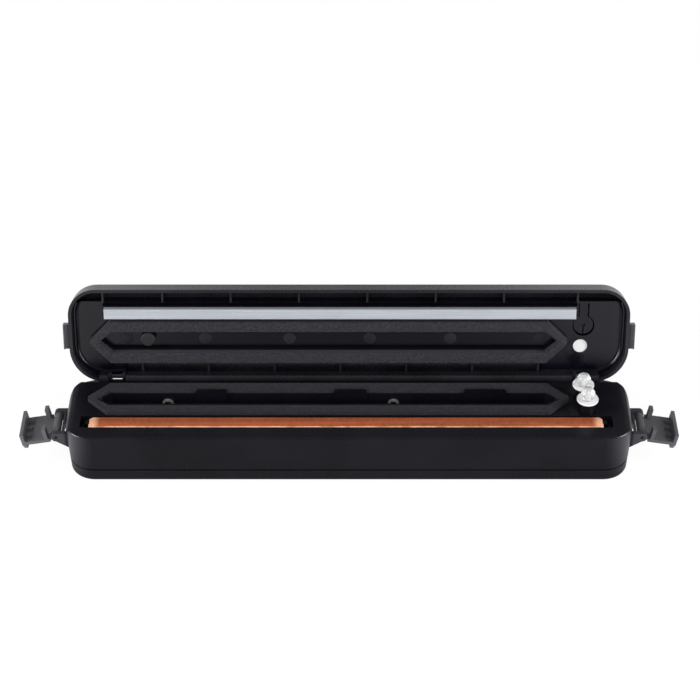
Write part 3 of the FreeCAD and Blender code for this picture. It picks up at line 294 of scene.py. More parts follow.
@dataclass(frozen=True)
class MouldedPlastic(Finish):
    """Moulded plastic with spark-eroded grain, cloudy tone and fine dust."""

    colour: Rgb
    roughness: float
    specular: float = 0.5
    grain_mm: float = 0.6
    grain_depth_mm: float = 0.03
    cloud_mm: float = 36.0
    cloud_share: float = 0.22
    dust: float = 0.08
    dust_colour: Rgb = (0.16, 0.16, 0.17)
    speck_mm: float = 0.8
    dusty_patch_mm: float = 17.0
    rough_spread: float = 0.10
    painted_end_sheen: Rgb | None = None
    painted_end_sheen_from: float = 0.1805
    painted_end_sheen_blend: float = 1.5 * MM

    def shader(self, graph: Graph) -> Value:
        """Grain as bump, clouds in tone and roughness, pale specks, and past the ends a painted paler sheen
        that stands in for the lamps' reflection there.

        Args:
            graph: The material's graph.

        Returns:
            The finished shader.
        """
        cloud = graph.noise(self.cloud_mm, 3.0)
        fine = graph.noise(self.grain_mm * 2.0, 2.0)
        patch = graph.noise(self.dusty_patch_mm, 1.0).step(0.45, 0.7)
        speck = graph.noise(self.speck_mm, 1.0).step(0.70, 0.78) * patch
        low = shade(self.colour, 1.0 - self.cloud_share)
        high = shade(self.colour, 1.0 + self.cloud_share)
        tone = graph.mix(cloud.step(0.3, 0.7), low, high)
        # Past the ends the tone is painted paler: a painted sheen for the side lamps' reflection on the end
        # walls, not wear.
        if self.painted_end_sheen is not None:
            past_ends_sheen = abs(graph.axes()[0]).step(self.painted_end_sheen_from, self.painted_end_sheen_from + self.painted_end_sheen_blend)
            tone = graph.mix(past_ends_sheen, tone, shade(self.painted_end_sheen, 1.0))
        dusty = graph.mix(speck * self.dust, tone, shade(self.dust_colour, 1.0))
        rough = self.roughness + (cloud - 0.5) * self.rough_spread + (fine - 0.5) * self.rough_spread
        normal = graph.bump(graph.cells(self.grain_mm) + fine * 0.6, self.grain_depth_mm)
        sockets = {"Base Color": dusty, "Roughness": rough, "Normal": normal}
        return graph.surface({**sockets, "Specular IOR Level": self.specular})


@dataclass(frozen=True)
class ClosedCellFoam(Finish):
    """Dark foam with cut pores and a faint skin pattern."""

    colour: Rgb
    pore_mm: float = 0.55
    depth_mm: float = 0.16
    cloud_mm: float = 9.0
    speck_mm: float = 1.0
    roughness: float = 0.86
    specular: float = 0.22
    sheen: float = 0.05
    sheen_roughness: float = 0.6

    def shader(self, graph: Graph) -> Value:
        """Pores as bump and as dark and pale specks.

        Args:
            graph: The material's graph.

        Returns:
            The finished shader.
        """
        pores = graph.cells(self.pore_mm)
        cloud = graph.noise(self.cloud_mm, 3.0)
        speck = graph.noise(self.speck_mm, 3.0)
        tone = graph.mix(speck.step(0.38, 0.64), shade(self.colour, 0.55), shade(self.colour, 1.55))
        worn = graph.mix(cloud.step(0.55, 0.8) * 0.5, tone, shade(self.colour, 1.35))
        rough = self.roughness + (cloud - 0.5) * 0.16
        normal = graph.bump(pores * 0.7 + speck * 0.6, self.depth_mm)
        sockets = {"Base Color": worn, "Roughness": rough, "Normal": normal}
        skin = {"Sheen Weight": self.sheen, "Sheen Roughness": self.sheen_roughness}
        return graph.surface({**sockets, **skin, "Specular IOR Level": self.specular})


@dataclass(frozen=True)
class Silicone(Finish):
    """Pale extruded silicone with drawn lines and a soft gloss."""

    colour: Rgb
    line_mm: float = 0.9
    lines: Rgb = (0.02, 1.0, 1.0)
    line_depth_mm: float = 0.05
    cloud_mm: float = 24.0
    roughness: float = 0.34
    specular: float = 0.5

    def shader(self, graph: Graph) -> Value:
        """Long streaks from the die, faint clouds and handling marks.

        Args:
            graph: The material's graph.

        Returns:
            The finished shader.
        """
        drawn = graph.noise(self.line_mm, 2.0, graph.stretched(self.lines))
        cloud = graph.noise(self.cloud_mm, 3.0)
        tone = graph.mix(drawn.step(0.3, 0.7), shade(self.colour, 0.92), shade(self.colour, 1.06))
        marked = graph.mix(cloud.step(0.55, 0.8) * 0.35, tone, shade(self.colour, 0.84))
        rough = self.roughness + (cloud - 0.5) * 0.2 + (drawn - 0.5) * 0.12
        normal = graph.bump(drawn, self.line_depth_mm)
        sockets = {"Base Color": marked, "Roughness": rough, "Normal": normal}
        return graph.surface({**sockets, "Specular IOR Level": self.specular})


@dataclass(frozen=True)
class HeaterCloth(Finish):
    """Copper-coloured woven non-stick cloth, paler at its ends, with a pale front edge line that is partly
    frayed cloth and partly painted highlight.
    """

    colour: Rgb
    pale: Rgb
    middle: tuple[float, float, float]
    half_length: float
    half_width: float
    thread_mm: float = 0.62
    streak_mm: float = 2.2
    streaks: Rgb = (0.03, 1.0, 1.0)
    patch_mm: float = 7.0
    fibre_mm: float = 1.3
    fibres: Rgb = (1.0, 0.25, 1.0)
    fold_highlight_from: float = 0.72
    fold_highlight_to: float = 0.86
    end_from: float = 0.955
    end_to: float = 0.985
    roughness: float = 0.50
    depth_mm: float = 0.09
    specular: float = 0.25

    def shader(self, graph: Graph) -> Value:
        """Weave as bump and tone, streaks along the bar, pale ends, and a front edge line lightened partly
        as frayed cloth and partly as painted highlight.

        Args:
            graph: The material's graph.

        Returns:
            The finished shader.
        """
        x, y, _ = graph.axes()
        turn = 2.0 * math.pi / (self.thread_mm * MM)
        weave = (x * turn).sine() * (y * turn).sine() * 0.5 + 0.5
        front = (self.middle[1] - y) * (1.0 / self.half_width)
        along = abs(x - self.middle[0]) * (1.0 / self.half_length)
        streak = graph.noise(self.streak_mm, 3.0, graph.stretched(self.streaks))
        patch = graph.noise(self.patch_mm, 3.0)
        fibre = graph.noise(self.fibre_mm, 2.0, graph.stretched(self.fibres))
        tone = graph.mix(streak.step(0.3, 0.7), shade(self.colour, 0.74), shade(self.colour, 1.22))
        mottled = graph.mix(fibre.step(0.34, 0.66) * 0.55, tone, shade(self.colour, 1.45))
        worn = graph.mix(patch.step(0.52, 0.74) * 0.4, mottled, shade(self.colour, 1.6))
        woven = graph.mix(weave * 0.22, worn, shade(self.colour, 0.55))
        # The front edge line is partly the cloth's pale frayed edge and partly a painted highlight, widened
        # and lightened where the rounded edge sits in shade.
        fold_highlight = front.step(self.fold_highlight_from, self.fold_highlight_to) * (0.30 + patch.step(0.3, 0.7) * 0.7)
        end = along.step(self.end_from, self.end_to) * (0.55 + patch * 0.7)
        pale = graph.mix(fold_highlight.larger(end), woven, shade(self.pale, 1.0))
        rough = self.roughness + (streak - 0.5) * 0.2 - weave * 0.08
        normal = graph.bump(weave * 0.7 + patch * 0.6, self.depth_mm)
        sockets = {"Base Color": pale, "Roughness": rough, "Normal": normal}
        return graph.surface({**sockets, "Specular IOR Level": self.specular})


@dataclass(frozen=True)
class Metal(Finish):
    """Bare or plated metal with fine drawing lines and dulled patches."""

    colour: Rgb
    roughness: float
    lines: Rgb = (1.0, 1.0, 1.0)
    metallic: float = 1.0
    line_mm: float = 0.35
    line_depth_mm: float = 0.008
    patch_mm: float = 5.0

    def shader(self, graph: Graph) -> Value:
        """Lines in roughness and bump, patches in tone.

        Args:
            graph: The material's graph.

        Returns:
            The finished shader.
        """
        drawn = graph.noise(self.line_mm, 2.0, graph.stretched(self.lines))
        patch = graph.noise(self.patch_mm, 3.0)
        tone = graph.mix(patch.step(0.35, 0.7), shade(self.colour, 0.88), shade(self.colour, 1.08))
        rough = self.roughness + (drawn - 0.5) * 0.10 + (patch - 0.5) * 0.08
        normal = graph.bump(drawn, self.line_depth_mm)
        sockets = {"Base Color": tone, "Roughness": rough, "Normal": normal}
        return graph.surface({**sockets, "Metallic": self.metallic})


@dataclass(frozen=True)
class ClearPlastic(Finish):
    """Clear moulded cap with flow lines and light scuffs."""

    colour: Rgb
    index: float = 1.49
    clearness: float = 0.78
    roughness: float = 0.03
    scuffed: float = 0.10
    scuff_mm: float = 0.7
    flow_mm: float = 3.0
    flow_depth_mm: float = 0.05
    flow_share: float = 0.5

    def shader(self, graph: Graph) -> Value:
        """Clear body whose roughness and surface vary a little.

        Args:
            graph: The material's graph.

        Returns:
            The finished shader.
        """
        flow = graph.noise(self.flow_mm, 2.0)
        scuff = graph.noise(self.scuff_mm, 2.0).step(0.62, 0.75)
        rough = self.roughness + scuff * self.scuffed
        normal = graph.bump(flow, self.flow_depth_mm, self.flow_share)
        sockets = {"Base Color": shade(self.colour, 1.0), "Roughness": rough, "Normal": normal}
        return graph.surface({**sockets, "IOR": self.index, "Transmission Weight": self.clearness})


@dataclass(frozen=True)
class Rubber(Finish):
    """Matt rubber with bloom and mould grain."""

    colour: Rgb
    roughness: float = 0.72
    specular: float = 0.35
    bloom_mm: float = 6.0
    grain_mm: float = 0.5
    grain_depth_mm: float = 0.05

    def shader(self, graph: Graph) -> Value:
        """Pale bloom in patches over a fine grain.

        Args:
            graph: The material's graph.

        Returns:
            The finished shader.
        """
        bloom = graph.noise(self.bloom_mm, 4.0)
        grain = graph.noise(self.grain_mm, 2.0)
        tone = graph.mix(bloom.step(0.45, 0.75), shade(self.colour, 0.85), shade(self.colour, 1.6))
        rough = self.roughness + (bloom - 0.5) * 0.2
        normal = graph.bump(grain, self.grain_depth_mm)
        sockets = {"Base Color": tone, "Roughness": rough, "Normal": normal}
        return graph.surface({**sockets, "Specular IOR Level": self.specular})


@dataclass(frozen=True)
class WoundWire(Finish):
    """Side-by-side turns of wire, as ridges across the height."""

    colour: Rgb
    pitch_mm: float = 0.5
    depth_share: float = 0.4
    roughness: float = 0.32
    patch_mm: float = 2.0
    metallic: float = 1.0

    def shader(self, graph: Graph) -> Value:
        """Turns as bump with darker gaps.

        Args:
            graph: The material's graph.

        Returns:
            The finished shader.
        """
        z = graph.axes()[2]
        turns = (z * (2.0 * math.pi / (self.pitch_mm * MM))).sine() * 0.5 + 0.5
        tone = graph.mix(turns.step(0.1, 0.6), shade(self.colour, 0.25), shade(self.colour, 1.0))
        rough = self.roughness + graph.noise(self.patch_mm) * 0.2
        normal = graph.bump(turns, self.pitch_mm * self.depth_share)
        sockets = {"Base Color": tone, "Roughness": rough, "Normal": normal}
        return graph.surface({**sockets, "Metallic": self.metallic})


# The paler end colours of the housing and the lid are painted sheen, standing in for reflected side light
# on their end walls.
BLACK_HOUSING = MouldedPlastic("base_satin_black", (0.0040, 0.0037, 0.0062), 0.30, grain_depth_mm=0.006,
                               painted_end_sheen=(0.034, 0.034, 0.040))
BLACK_LID = MouldedPlastic("lid_satin_black", (0.0095, 0.0091, 0.0118), 0.28, grain_depth_mm=0.0015,
                           painted_end_sheen=(0.050, 0.050, 0.056))
BLACK_PANEL = MouldedPlastic("inner_panel_black", (0.0020, 0.0018, 0.0044), 0.22, grain_depth_mm=0.004)
BLACK_LATCH = MouldedPlastic("latch_dark_grey", (0.078, 0.078, 0.086), 0.46, specular=0.45)
MARK_BLACK = MouldedPlastic("mark_black", (0.0110, 0.0106, 0.0135), 0.42, grain_depth_mm=0.004)
BLACK_BUTTON = MouldedPlastic("button_black", (0.012, 0.012, 0.014), 0.30, grain_depth_mm=0.01)
BLACK_COLLAR = MouldedPlastic("collar_gloss_black", (0.004, 0.004, 0.006), 0.34, specular=0.16,
                              grain_depth_mm=0.003, dust=0.1)
WHITE_PLASTIC = MouldedPlastic("pad_white", (0.70, 0.70, 0.695), 0.34, grain_depth_mm=0.01,
                               cloud_share=0.03, dust=0.1)
INNER_BLACK = MouldedPlastic("works_black", (0.016, 0.016, 0.018), 0.40)
PHENOLIC = MouldedPlastic("heater_board_brown", (0.090, 0.046, 0.026), 0.55, grain_depth_mm=0.04)
BOARD_GREEN = MouldedPlastic("circuit_green", (0.020, 0.150, 0.060), 0.40, grain_mm=1.2)
RELAY_BLUE = MouldedPlastic("relay_case_blue", (0.030, 0.080, 0.300), 0.35)
# The deck ring and the lid ring are the same foam; the deck ring's copy is painted darker, as painted shade
# for the weaker light on the flat deck.
SHADED_BASE_FOAM = ClosedCellFoam("base_gasket_foam_painted_shade", (0.0105, 0.0100, 0.0140))
LID_FOAM = ClosedCellFoam("lid_gasket_foam", (0.0175, 0.0168, 0.0220))
STRIP_SILICONE = Silicone("seal_strip_grey", (0.315, 0.33, 0.362))
HOSE_SILICONE = Silicone("hose_milky", (0.60, 0.61, 0.60))
DULL_STEEL = Metal("pin_dull_steel", (0.16, 0.16, 0.165), 0.26, (0.05, 1.0, 1.0))
BLACKENED_STEEL = Metal("blackened_steel", (0.035, 0.035, 0.038), 0.45, (1.0, 0.05, 1.0))
SCREW_STEEL = Metal("screw_zinc", (0.50, 0.50, 0.51), 0.34)
PLATED_RIM = Metal("eyelet_plated", (0.80, 0.80, 0.82), 0.10, metallic=0.82)
BRASS = Metal("contact_brass", (0.72, 0.50, 0.20), 0.28)
RIBBON_METAL = Metal("heater_ribbon", (0.055, 0.048, 0.043), 0.45, (0.05, 1.0, 1.0))
MOTOR_CAN = Metal("motor_can_zinc", (0.46, 0.46, 0.48), 0.40, (1.0, 0.05, 1.0))
CORE_IRON = Metal("core_laminations", (0.16, 0.16, 0.17), 0.55, (1.0, 0.02, 1.0))
COIL_COPPER = WoundWire("coil_copper", (0.62, 0.26, 0.11))
SPRING_WIRE = Metal("spring_wire", (0.52, 0.52, 0.54), 0.30)
CLEAR_CAP = ClearPlastic("cap_clear", (0.96, 0.97, 0.98))
BLACK_RUBBER = Rubber("rubber_black", (0.014, 0.014, 0.015))
PLUG_RUBBER = Rubber("plug_black", (0.017, 0.017, 0.019), 0.50)


def dress(finish: Finish, *nodes: str) -> None:
    """Gives solids their finish.

    Args:
        finish: What they are made of.
        nodes: Names of the solids.
    """
    for name in nodes:
        slots = frame["nodes"][name].data.materials
        slots.clear()
        slots.append(finish.material())
        LOG.info("dressed %s in %s", name, finish.name)


def joint(name: str) -> dict:
    """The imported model's joint of that name."""
    return next(found for found in frame["joints"] if found["name"] == name)


class LidPose:
    """Turns points between the shut lid, as pieces are drawn, and the open rest pose."""

    def __init__(self) -> None:
        """Reads the hinge from the frame."""
        hinge = joint("lid_hinge")
        centre = Vector(hinge["pos_m"])
        turn = math.radians(hinge["range_deg"][1])
        spin = Matrix.Rotation(-turn, 4, Vector(hinge["axis"]))
        self.opened = Matrix.Translation(centre) @ spin @ Matrix.Translation(-centre)

    def shut_box(self, node: str) -> tuple[Vector, Vector]:
        """Box of a lid solid with the lid shut.

        Args:
            node: Name of the solid.

        Returns:
            Lowest and highest corner.
        """
        shut = self.opened.inverted()
        points = [shut @ corner.co for corner in frame["nodes"][node].data.vertices]
        low = Vector(min(point[axis] for point in points) for axis in range(3))
        high = Vector(max(point[axis] for point in points) for axis in range(3))
        return low, high


class Bench:
    """Hand moves on one new mesh, each through an operator."""

    def __init__(self, name: str, add: Callable[..., set], **sizes: object) -> None:
        """Adds a primitive and starts to edit it.

        Args:
            name: Name of the finished piece.
            add: The operator that adds the primitive.
            sizes: What the operator is given.
        """
        bpy.ops.object.select_all(action="DESELECT")
        add(**sizes)
        self.piece = bpy.context.object
        self.piece.name = name
        bpy.ops.object.transform_apply(location=True, rotation=True, scale=True)
        bpy.ops.object.mode_set(mode="EDIT")

    def pick(self, element: Element, test: Callable[[object], bool]) -> None:
        """Selects what passes a test.

        Args:
            element: Corners, edges or faces.
            test: Called with each of them.
        """
        bpy.ops.mesh.select_mode(type=element.value)
        bpy.ops.mesh.select_all(action="DESELECT")
        mesh = bmesh.from_edit_mesh(self.piece.data)
        groups = {Element.CORNER: mesh.verts, Element.EDGE: mesh.edges, Element.FACE: mesh.faces}
        for item in groups[element]:
            item.select_set(test(item))
        mesh.select_flush_mode()
        bmesh.update_edit_mesh(self.piece.data)

    def pick_edges(self, test: Callable[[Vector], bool]) -> None:
        """Selects the edges whose two corners both pass a test on their place."""
        self.pick(Element.EDGE, lambda edge: all(test(corner.co) for corner in edge.verts))

    @staticmethod
    def pick_all() -> None:
        """Selects everything."""
        bpy.ops.mesh.select_all(action="SELECT")

    @staticmethod
    def raise_by(height: float) -> None:
        """Draws the selection out along Z."""
        bpy.ops.mesh.extrude_region_move(TRANSFORM_OT_translate={"value": (0.0, 0.0, height)})

    @staticmethod
    def move(by: Vector) -> None:
        """Shifts the selection."""
        bpy.ops.transform.translate(value=by)

    @staticmethod
    def scale(factors: tuple[float, float, float], centre: Vector) -> None:
        """Scales the selection about a point."""
        bpy.ops.transform.resize(value=factors, center_override=centre)

    @staticmethod
    def round_edges(radius: float, steps: int) -> None:
        """Rounds the selected edges."""
        bpy.ops.mesh.bevel(offset=radius, segments=steps, affect="EDGES")

    @staticmethod
    def cut_corners(size: float, steps: int = 1) -> None:
        """Cuts or rounds the selected corners."""
        bpy.ops.mesh.bevel(offset=size, segments=steps, affect="VERTICES")

    def slice_x(self, first: float, last: float, pitch: float) -> None:
        """Adds cross lines at a steady pitch, so that the form can waver.

        Args:
            first: Lowest X.
            last: Highest X.
            pitch: Distance between two lines.
        """
        count = int((last - first) / pitch)
        for index in range(1, count):
            self.pick_all()
            place = (first + index * (last - first) / count, 0.0, 0.0)
            bpy.ops.mesh.bisect(plane_co=place, plane_no=(1.0, 0.0, 0.0))

    def slice_y(self, *places: float) -> None:
        """Adds lines along the piece.

        Args:
            places: Y of each line.
        """
        for place in places:
            self.pick_all()
            bpy.ops.mesh.bisect(plane_co=(0.0, place, 0.0), plane_no=(0.0, 1.0, 0.0))

    def waver(self, size: float, seed: int) -> None:
        """Shifts every corner by a small seeded amount."""
        self.pick_all()
        bpy.ops.transform.vertex_random(offset=size, uniform=0.0, normal=0.0, seed=seed)

    def done(self, finish: Finish, body: Body, turn: Matrix | None = None,
             smooth_deg: float = 35.0) -> bpy.types.Object:
        """Ends editing, dresses the piece and lets it ride.

        Args:
            finish: What it is made of.
            body: The body that it moves with.
            turn: Turns the finished mesh, as for a piece on the open lid.
            smooth_deg: Edges flatter than this are shaded smooth.

        Returns:
            The finished piece.
        """
        self.pick_all()
        bpy.ops.mesh.remove_doubles(threshold=WELD)
        self.pick_all()
        bpy.ops.mesh.normals_make_consistent(inside=False)
        bpy.ops.object.mode_set(mode="OBJECT")
        if turn is not None:
            self.piece.data.transform(turn)
        bpy.ops.object.shade_smooth_by_angle(angle=math.radians(smooth_deg))
        self.piece.data.materials.append(finish.material())
        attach(self.piece, body.value)
        LOG.info("modelled %s for %s", self.piece.name, body.value)
        return self.piece


@dataclass
class FoamGasket:
    """Long foam ring with pointed ends, drawn flat and soft at its sealing edges."""

    node: str
    body: Body
    finish: Finish
    slot: str = "foam_black"
    slant: float = 13.15 * MM
    bar: float = 7.3 * MM
    hole_shift: float = 0.0
    end_bar: float = 6.2 * MM
    hole_tip: float = 0.6 * MM
    tip_zone: float = 0.9 * MM
    hole_slant: float = 7.6 * MM
    edge_r: float = 1.0 * MM
    edge_steps: int = 4
    pitch: float = 7.0 * MM
    unevenness: float = 0.05 * MM
    seed: int = 7
    fill: float = 0.9

    def outline(self, name: str, low: Vector, high: Vector, z: float) -> Bench:
        """Draws the flat ring.

        Args:
            name: Name of the piece.
            low: Lowest corner of the ring.
            high: Highest corner of the ring.
            z: Height of the flat ring.

        Returns:
            The bench with the ring selected.
        """
        middle = Vector(((low.x + high.x) / 2, (low.y + high.y) / 2, z))
        size = high - low
        bench = Bench(name, bpy.ops.mesh.primitive_plane_add, size=1.0, location=middle)
        bench.scale((size.x, size.y, 1.0), middle)
        bench.cut_corners(self.slant)
        bpy.ops.mesh.delete(type="ONLY_FACE")
        middle.y += self.hole_shift
        bpy.ops.mesh.primitive_plane_add(size=1.0, location=middle)
        hole_half_w = size.y / 2 - self.bar
        cut = hole_half_w - self.hole_tip
        reach = self.hole_slant - cut
        hole_half_l = size.x / 2 - self.end_bar - reach
        bench.scale((2 * hole_half_l, 2 * hole_half_w, 1.0), middle)
        bench.cut_corners(cut)
        bpy.ops.mesh.delete(type="ONLY_FACE")
        for side in (-1, 1):
            tip = middle + Vector((side * hole_half_l, 0.0, 0.0))
            bench.pick(Element.CORNER, lambda corner, tip=tip: self.is_at(corner.co, tip))
            bench.move(Vector((side * reach, 0.0, 0.0)))
        bench.pick_all()
        bpy.ops.mesh.select_mode(type="EDGE")
        bpy.ops.mesh.bridge_edge_loops()
        return bench

    def is_at(self, place: Vector, tip: Vector) -> bool:
        """True for a corner at the opening's point."""
        return abs(place.x - tip.x) < self.tip_zone and abs(place.y - tip.y) < self.tip_zone

    def build(self, low: Vector, high: Vector, seat_z: float, face_z: float, turn: Matrix | None) -> None:
        """Raises the ring from its seat, softens its sealing edges and lets it waver.

        Args:
            low: Lowest corner of the ring, as drawn.
            high: Highest corner of the ring, as drawn.
            seat_z: Height of the side that is stuck down.
            face_z: Height of the sealing face.
            turn: Turn to the open lid, or None on the base.
        """
        bench = self.outline(self.node + "_foam", low, high, seat_z)
        bench.pick_all()
        bench.raise_by(face_z - seat_z)
        bench.pick(Element.EDGE, lambda edge: self.is_rim(edge, face_z))
        bench.round_edges(self.edge_r, self.edge_steps)
        bench.slice_x(low.x, high.x, self.pitch)
        bench.waver(self.unevenness, self.seed)
        piece = bench.done(self.finish, self.body, turn)
        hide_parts(self.node)

    @staticmethod
    def is_rim(edge: object, face_z: float) -> bool:
        """True for an edge between the sealing face and a side wall.

        Args:
            edge: An edge of the raised ring.
            face_z: Height of the sealing face.

        Returns:
            Whether the edge is to be rounded.
        """
        level = all(abs(corner.co.z - face_z) < NEAR for corner in edge.verts)
        return level and any(abs(face.normal.z) < 0.5 for face in edge.link_faces)


@dataclass
class Heater:
    """Heater bar with its ribbon, clips and the cloth folded over it."""

    node: str = "heater_tape"
    fold_r: float = 0.9 * MM
    fold_steps: int = 4
    end_r: float = 3.2 * MM
    end_steps: int = 7
    ribbon_half: float = 1.5 * MM
    ribbon_slope: float = 0.5 * MM
    ribbon_rise: float = 0.16 * MM
    thickness: float = 0.28 * MM
    pitch: float = 5.0 * MM
    unevenness: float = 0.05 * MM
    seed: int = 11
    smooth_deg: float = 50.0
    pale: Rgb = (0.70, 0.38, 0.24)
    copper: Rgb = (0.265, 0.066, 0.025)

    def build(self) -> None:
        """Models the cloth over the bar and dresses the rest."""
        low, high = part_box(self.node)
        middle = (low + high) / 2
        size = high - low
        top = high.z - self.ribbon_rise
        bench = Bench("heater_cloth", bpy.ops.mesh.primitive_plane_add, size=1.0,
                      location=(middle.x, middle.y, top))
        bench.scale((size.x, size.y, 1.0), Vector((middle.x, middle.y, top)))
        bench.pick(Element.CORNER, lambda corner: corner.co.y > middle.y)
        bench.cut_corners(self.end_r, self.end_steps)
        bench.pick_all()
        bench.raise_by(low.z - top)
        bench.pick(Element.FACE, lambda face: face.calc_center_median().z < low.z + NEAR)
        bpy.ops.mesh.delete(type="FACE")
        bench.pick_edges(lambda place: abs(place.z - top) < NEAR)
        bench.round_edges(self.fold_r, self.fold_steps)
        inner = self.ribbon_half
        outer = self.ribbon_half + self.ribbon_slope
        bench.slice_y(middle.y - outer, middle.y - inner, middle.y + inner, middle.y + outer)
        near = inner + self.ribbon_slope / 2
        bench.pick(Element.CORNER,
                   lambda corner: abs(corner.co.y - middle.y) < near and corner.co.z > top - NEAR)
        bench.move(Vector((0.0, 0.0, self.ribbon_rise)))
        bench.slice_x(low.x, high.x, self.pitch)
        bench.waver(self.unevenness, self.seed)
        cloth = HeaterCloth("heater_cloth_copper", self.copper, self.pale, tuple(middle),
                            size.x / 2, size.y / 2)
        piece = bench.done(cloth, Body.BASE, smooth_deg=self.smooth_deg)
        wall = piece.modifiers.new("cloth_thickness", "SOLIDIFY")
        wall.thickness = self.thickness
        wall.offset = -1.0
        bpy.ops.object.modifier_apply(modifier=wall.name)
        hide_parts(self.node)
        dress(PHENOLIC, "heater_bar")
        dress(RIBBON_METAL, "heating_ribbon")
        dress(INNER_BLACK, "heater_clips")


@dataclass
class Plunger:
    """One sprung plunger: collar, washer, spring and a clear ball-shaped cap with a post inside."""

    prefix: str
    body: Body
    foot_share: float = 0.85
    segments: int = 48
    rings: int = 24
    foot_edge_r: float = 0.35 * MM
    foot_edge_steps: int = 3
    smooth_deg: float = 40.0
    lift: float = 0.02 * MM
    post_r: float = 1.25 * MM
    post_h: float = 4.4 * MM
    post_gap: float = 0.16 * MM
    post_sides: int = 32
    post_edge_r: float = 0.6 * MM
    post_edge_steps: int = 4
    tip_inset_share: float = 0.35
    tip_rise_share: float = 0.4
    wire_r: float = 0.4 * MM
    wire_sides: int = 10
    turns: int = 6
    turn_steps: int = 28

    def build(self) -> None:
        """Models the cap, its post and the spring, and dresses the rest."""
        low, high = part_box(self.prefix + "_dome")
        middle = (low + high) / 2
        radius = (high.x - low.x) / 2
        centre = Vector((middle.x, middle.y, high.z - radius))
        bench = Bench(self.prefix + "_cap", bpy.ops.mesh.primitive_uv_sphere_add, segments=self.segments,
                      ring_count=self.rings, radius=radius, location=centre)
        bench.pick_all()
        bpy.ops.mesh.bisect(plane_co=centre, plane_no=(0.0, 0.0, 1.0), clear_inner=True)
        bench.pick(Element.EDGE, lambda edge: edge.is_boundary)
        bench.raise_by(low.z + self.lift - centre.z)
        bench.scale((self.foot_share, self.foot_share, 1.0), Vector((centre.x, centre.y, low.z)))
        bpy.ops.mesh.edge_face_add()
        bench.pick_edges(lambda place: place.z < low.z + 2 * self.lift)
        bench.round_edges(self.foot_edge_r, self.foot_edge_steps)
        cap = bench.done(CLEAR_CAP, self.body, smooth_deg=self.smooth_deg)
        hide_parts(self.prefix + "_dome")
        self.build_post(centre.x, centre.y, low.z)
        dress(BLACK_COLLAR, self.prefix + "_stem")
        dress(WHITE_PLASTIC, self.prefix + "_flange")
        self.build_spring()

    def build_spring(self) -> None:
        """Winds the spring under the stem; how far it would shorten as the lid shuts is worked out but not
        applied.
        """
        node = self.prefix + "_spring"
        low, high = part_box(node)
        wire_r = self.wire_r
        coil_r = (high.x - low.x) / 2 - wire_r
        rise = high.z - low.z - 2 * wire_r
        bench = Bench(node + "_coil", bpy.ops.mesh.primitive_circle_add, vertices=self.wire_sides,
                      radius=wire_r, location=(coil_r, 0.0, wire_r), rotation=(math.pi / 2, 0.0, 0.0))
        bpy.ops.object.mode_set(mode="OBJECT")
        wind = bench.piece.modifiers.new("turns", "SCREW")
        wind.screw_offset = rise / self.turns
        wind.iterations = self.turns
        wind.steps = self.turn_steps
        wind.render_steps = self.turn_steps
        bpy.ops.object.modifier_apply(modifier=wind.name)
        bpy.ops.object.mode_set(mode="EDIT")
        bench.pick(Element.EDGE, lambda edge: edge.is_boundary)
        bpy.ops.mesh.fill_holes(sides=0)
        foot = Vector(((low.x + high.x) / 2, (low.y + high.y) / 2, low.z))
        coil = bench.done(SPRING_WIRE, Body.BASE, Matrix.Translation(foot))
        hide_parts(node)
        travel = joint(self.prefix + "_slide")["range_m"][1]
        keep = 1.0 - travel / (high.z - low.z)
        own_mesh(coil)

    def build_post(self, x: float, y: float, low_z: float) -> None:
        """Models the bright post that shows through the cap.

        Args:
            x: Place of the plunger.
            y: Place of the plunger.
            low_z: Top of the washer.
        """
        foot = low_z + self.post_gap
        bench = Bench(self.prefix + "_post", bpy.ops.mesh.primitive_cylinder_add, vertices=self.post_sides,
                      radius=self.post_r, depth=self.post_h, location=(x, y, foot + self.post_h / 2))
        top = foot + self.post_h
        bench.pick(Element.FACE, lambda face: face.calc_center_median().z > top - NEAR)
        bpy.ops.mesh.inset(thickness=self.post_r * self.tip_inset_share)
        bench.move(Vector((0.0, 0.0, self.post_r * self.tip_rise_share)))
        bench.pick_edges(lambda place: abs(place.z - top) < NEAR)
        bench.round_edges(self.post_edge_r, self.post_edge_steps)
        post = bench.done(WHITE_PLASTIC, self.body)


@dataclass
class Base:
    """Lower half: housing, cover, feet, screws, chamber fittings, switches and the power inlet."""

    def build(self) -> None:
        """Dresses the solids of the base."""
        dress(BLACK_HOUSING, "base_housing", "bottom_cover")
        dress(BLACK_RUBBER, "rubber_feet")
        dress(SCREW_STEEL, "bottom_screws")
        dress(PLATED_RIM, "suction_eyelets")
        dress(INNER_BLACK, "plunger_switches", "inlet_body")
        dress(BRASS, "inlet_pins")


@dataclass
class MouldMarks:
    """Faint discs that the ejector pins left on one moulding of the lid."""

    node: str
    places_mm: tuple[float, ...]
    radius: float = 4.0 * MM
    thickness: float = 0.12 * MM
    segments: int = 32
    rim_r: float = 0.05 * MM
    rim_steps: int = 2

    def build(self, pose: LidPose, y: float, below: float) -> None:
        """Finds the moulding above each place with the lid shut and lays a disc on it.

        Args:
            pose: Turns between the shut and the open lid.
            y: Place across the lid, with the lid shut.
            below: Height under the moulding to look up from, with the lid shut.
        """
        moulding = frame["nodes"][self.node]
        up = pose.opened.to_3x3() @ Vector((0.0, 0.0, 1.0))
        for number, place_mm in enumerate(self.places_mm):
            start = Vector((place_mm * MM, y, below))
            found, spot, _, _ = moulding.ray_cast(pose.opened @ start, up)
            if not found:
                LOG.info("no moulding at %s for mark %d", self.node, number)
                continue
            face = pose.opened.inverted() @ spot
            centre = (face.x, face.y, face.z - self.thickness / 2)
            bench = Bench(f"{self.node}_mark_{number}", bpy.ops.mesh.primitive_cylinder_add,
                          vertices=self.segments, radius=self.radius, depth=self.thickness, location=centre)
            bench.pick_edges(lambda place, low=face.z - self.thickness: place.z < low + NEAR)
            bench.round_edges(self.rim_r, self.rim_steps)
            mark = bench.done(MARK_BLACK, Body.LID, pose.opened)


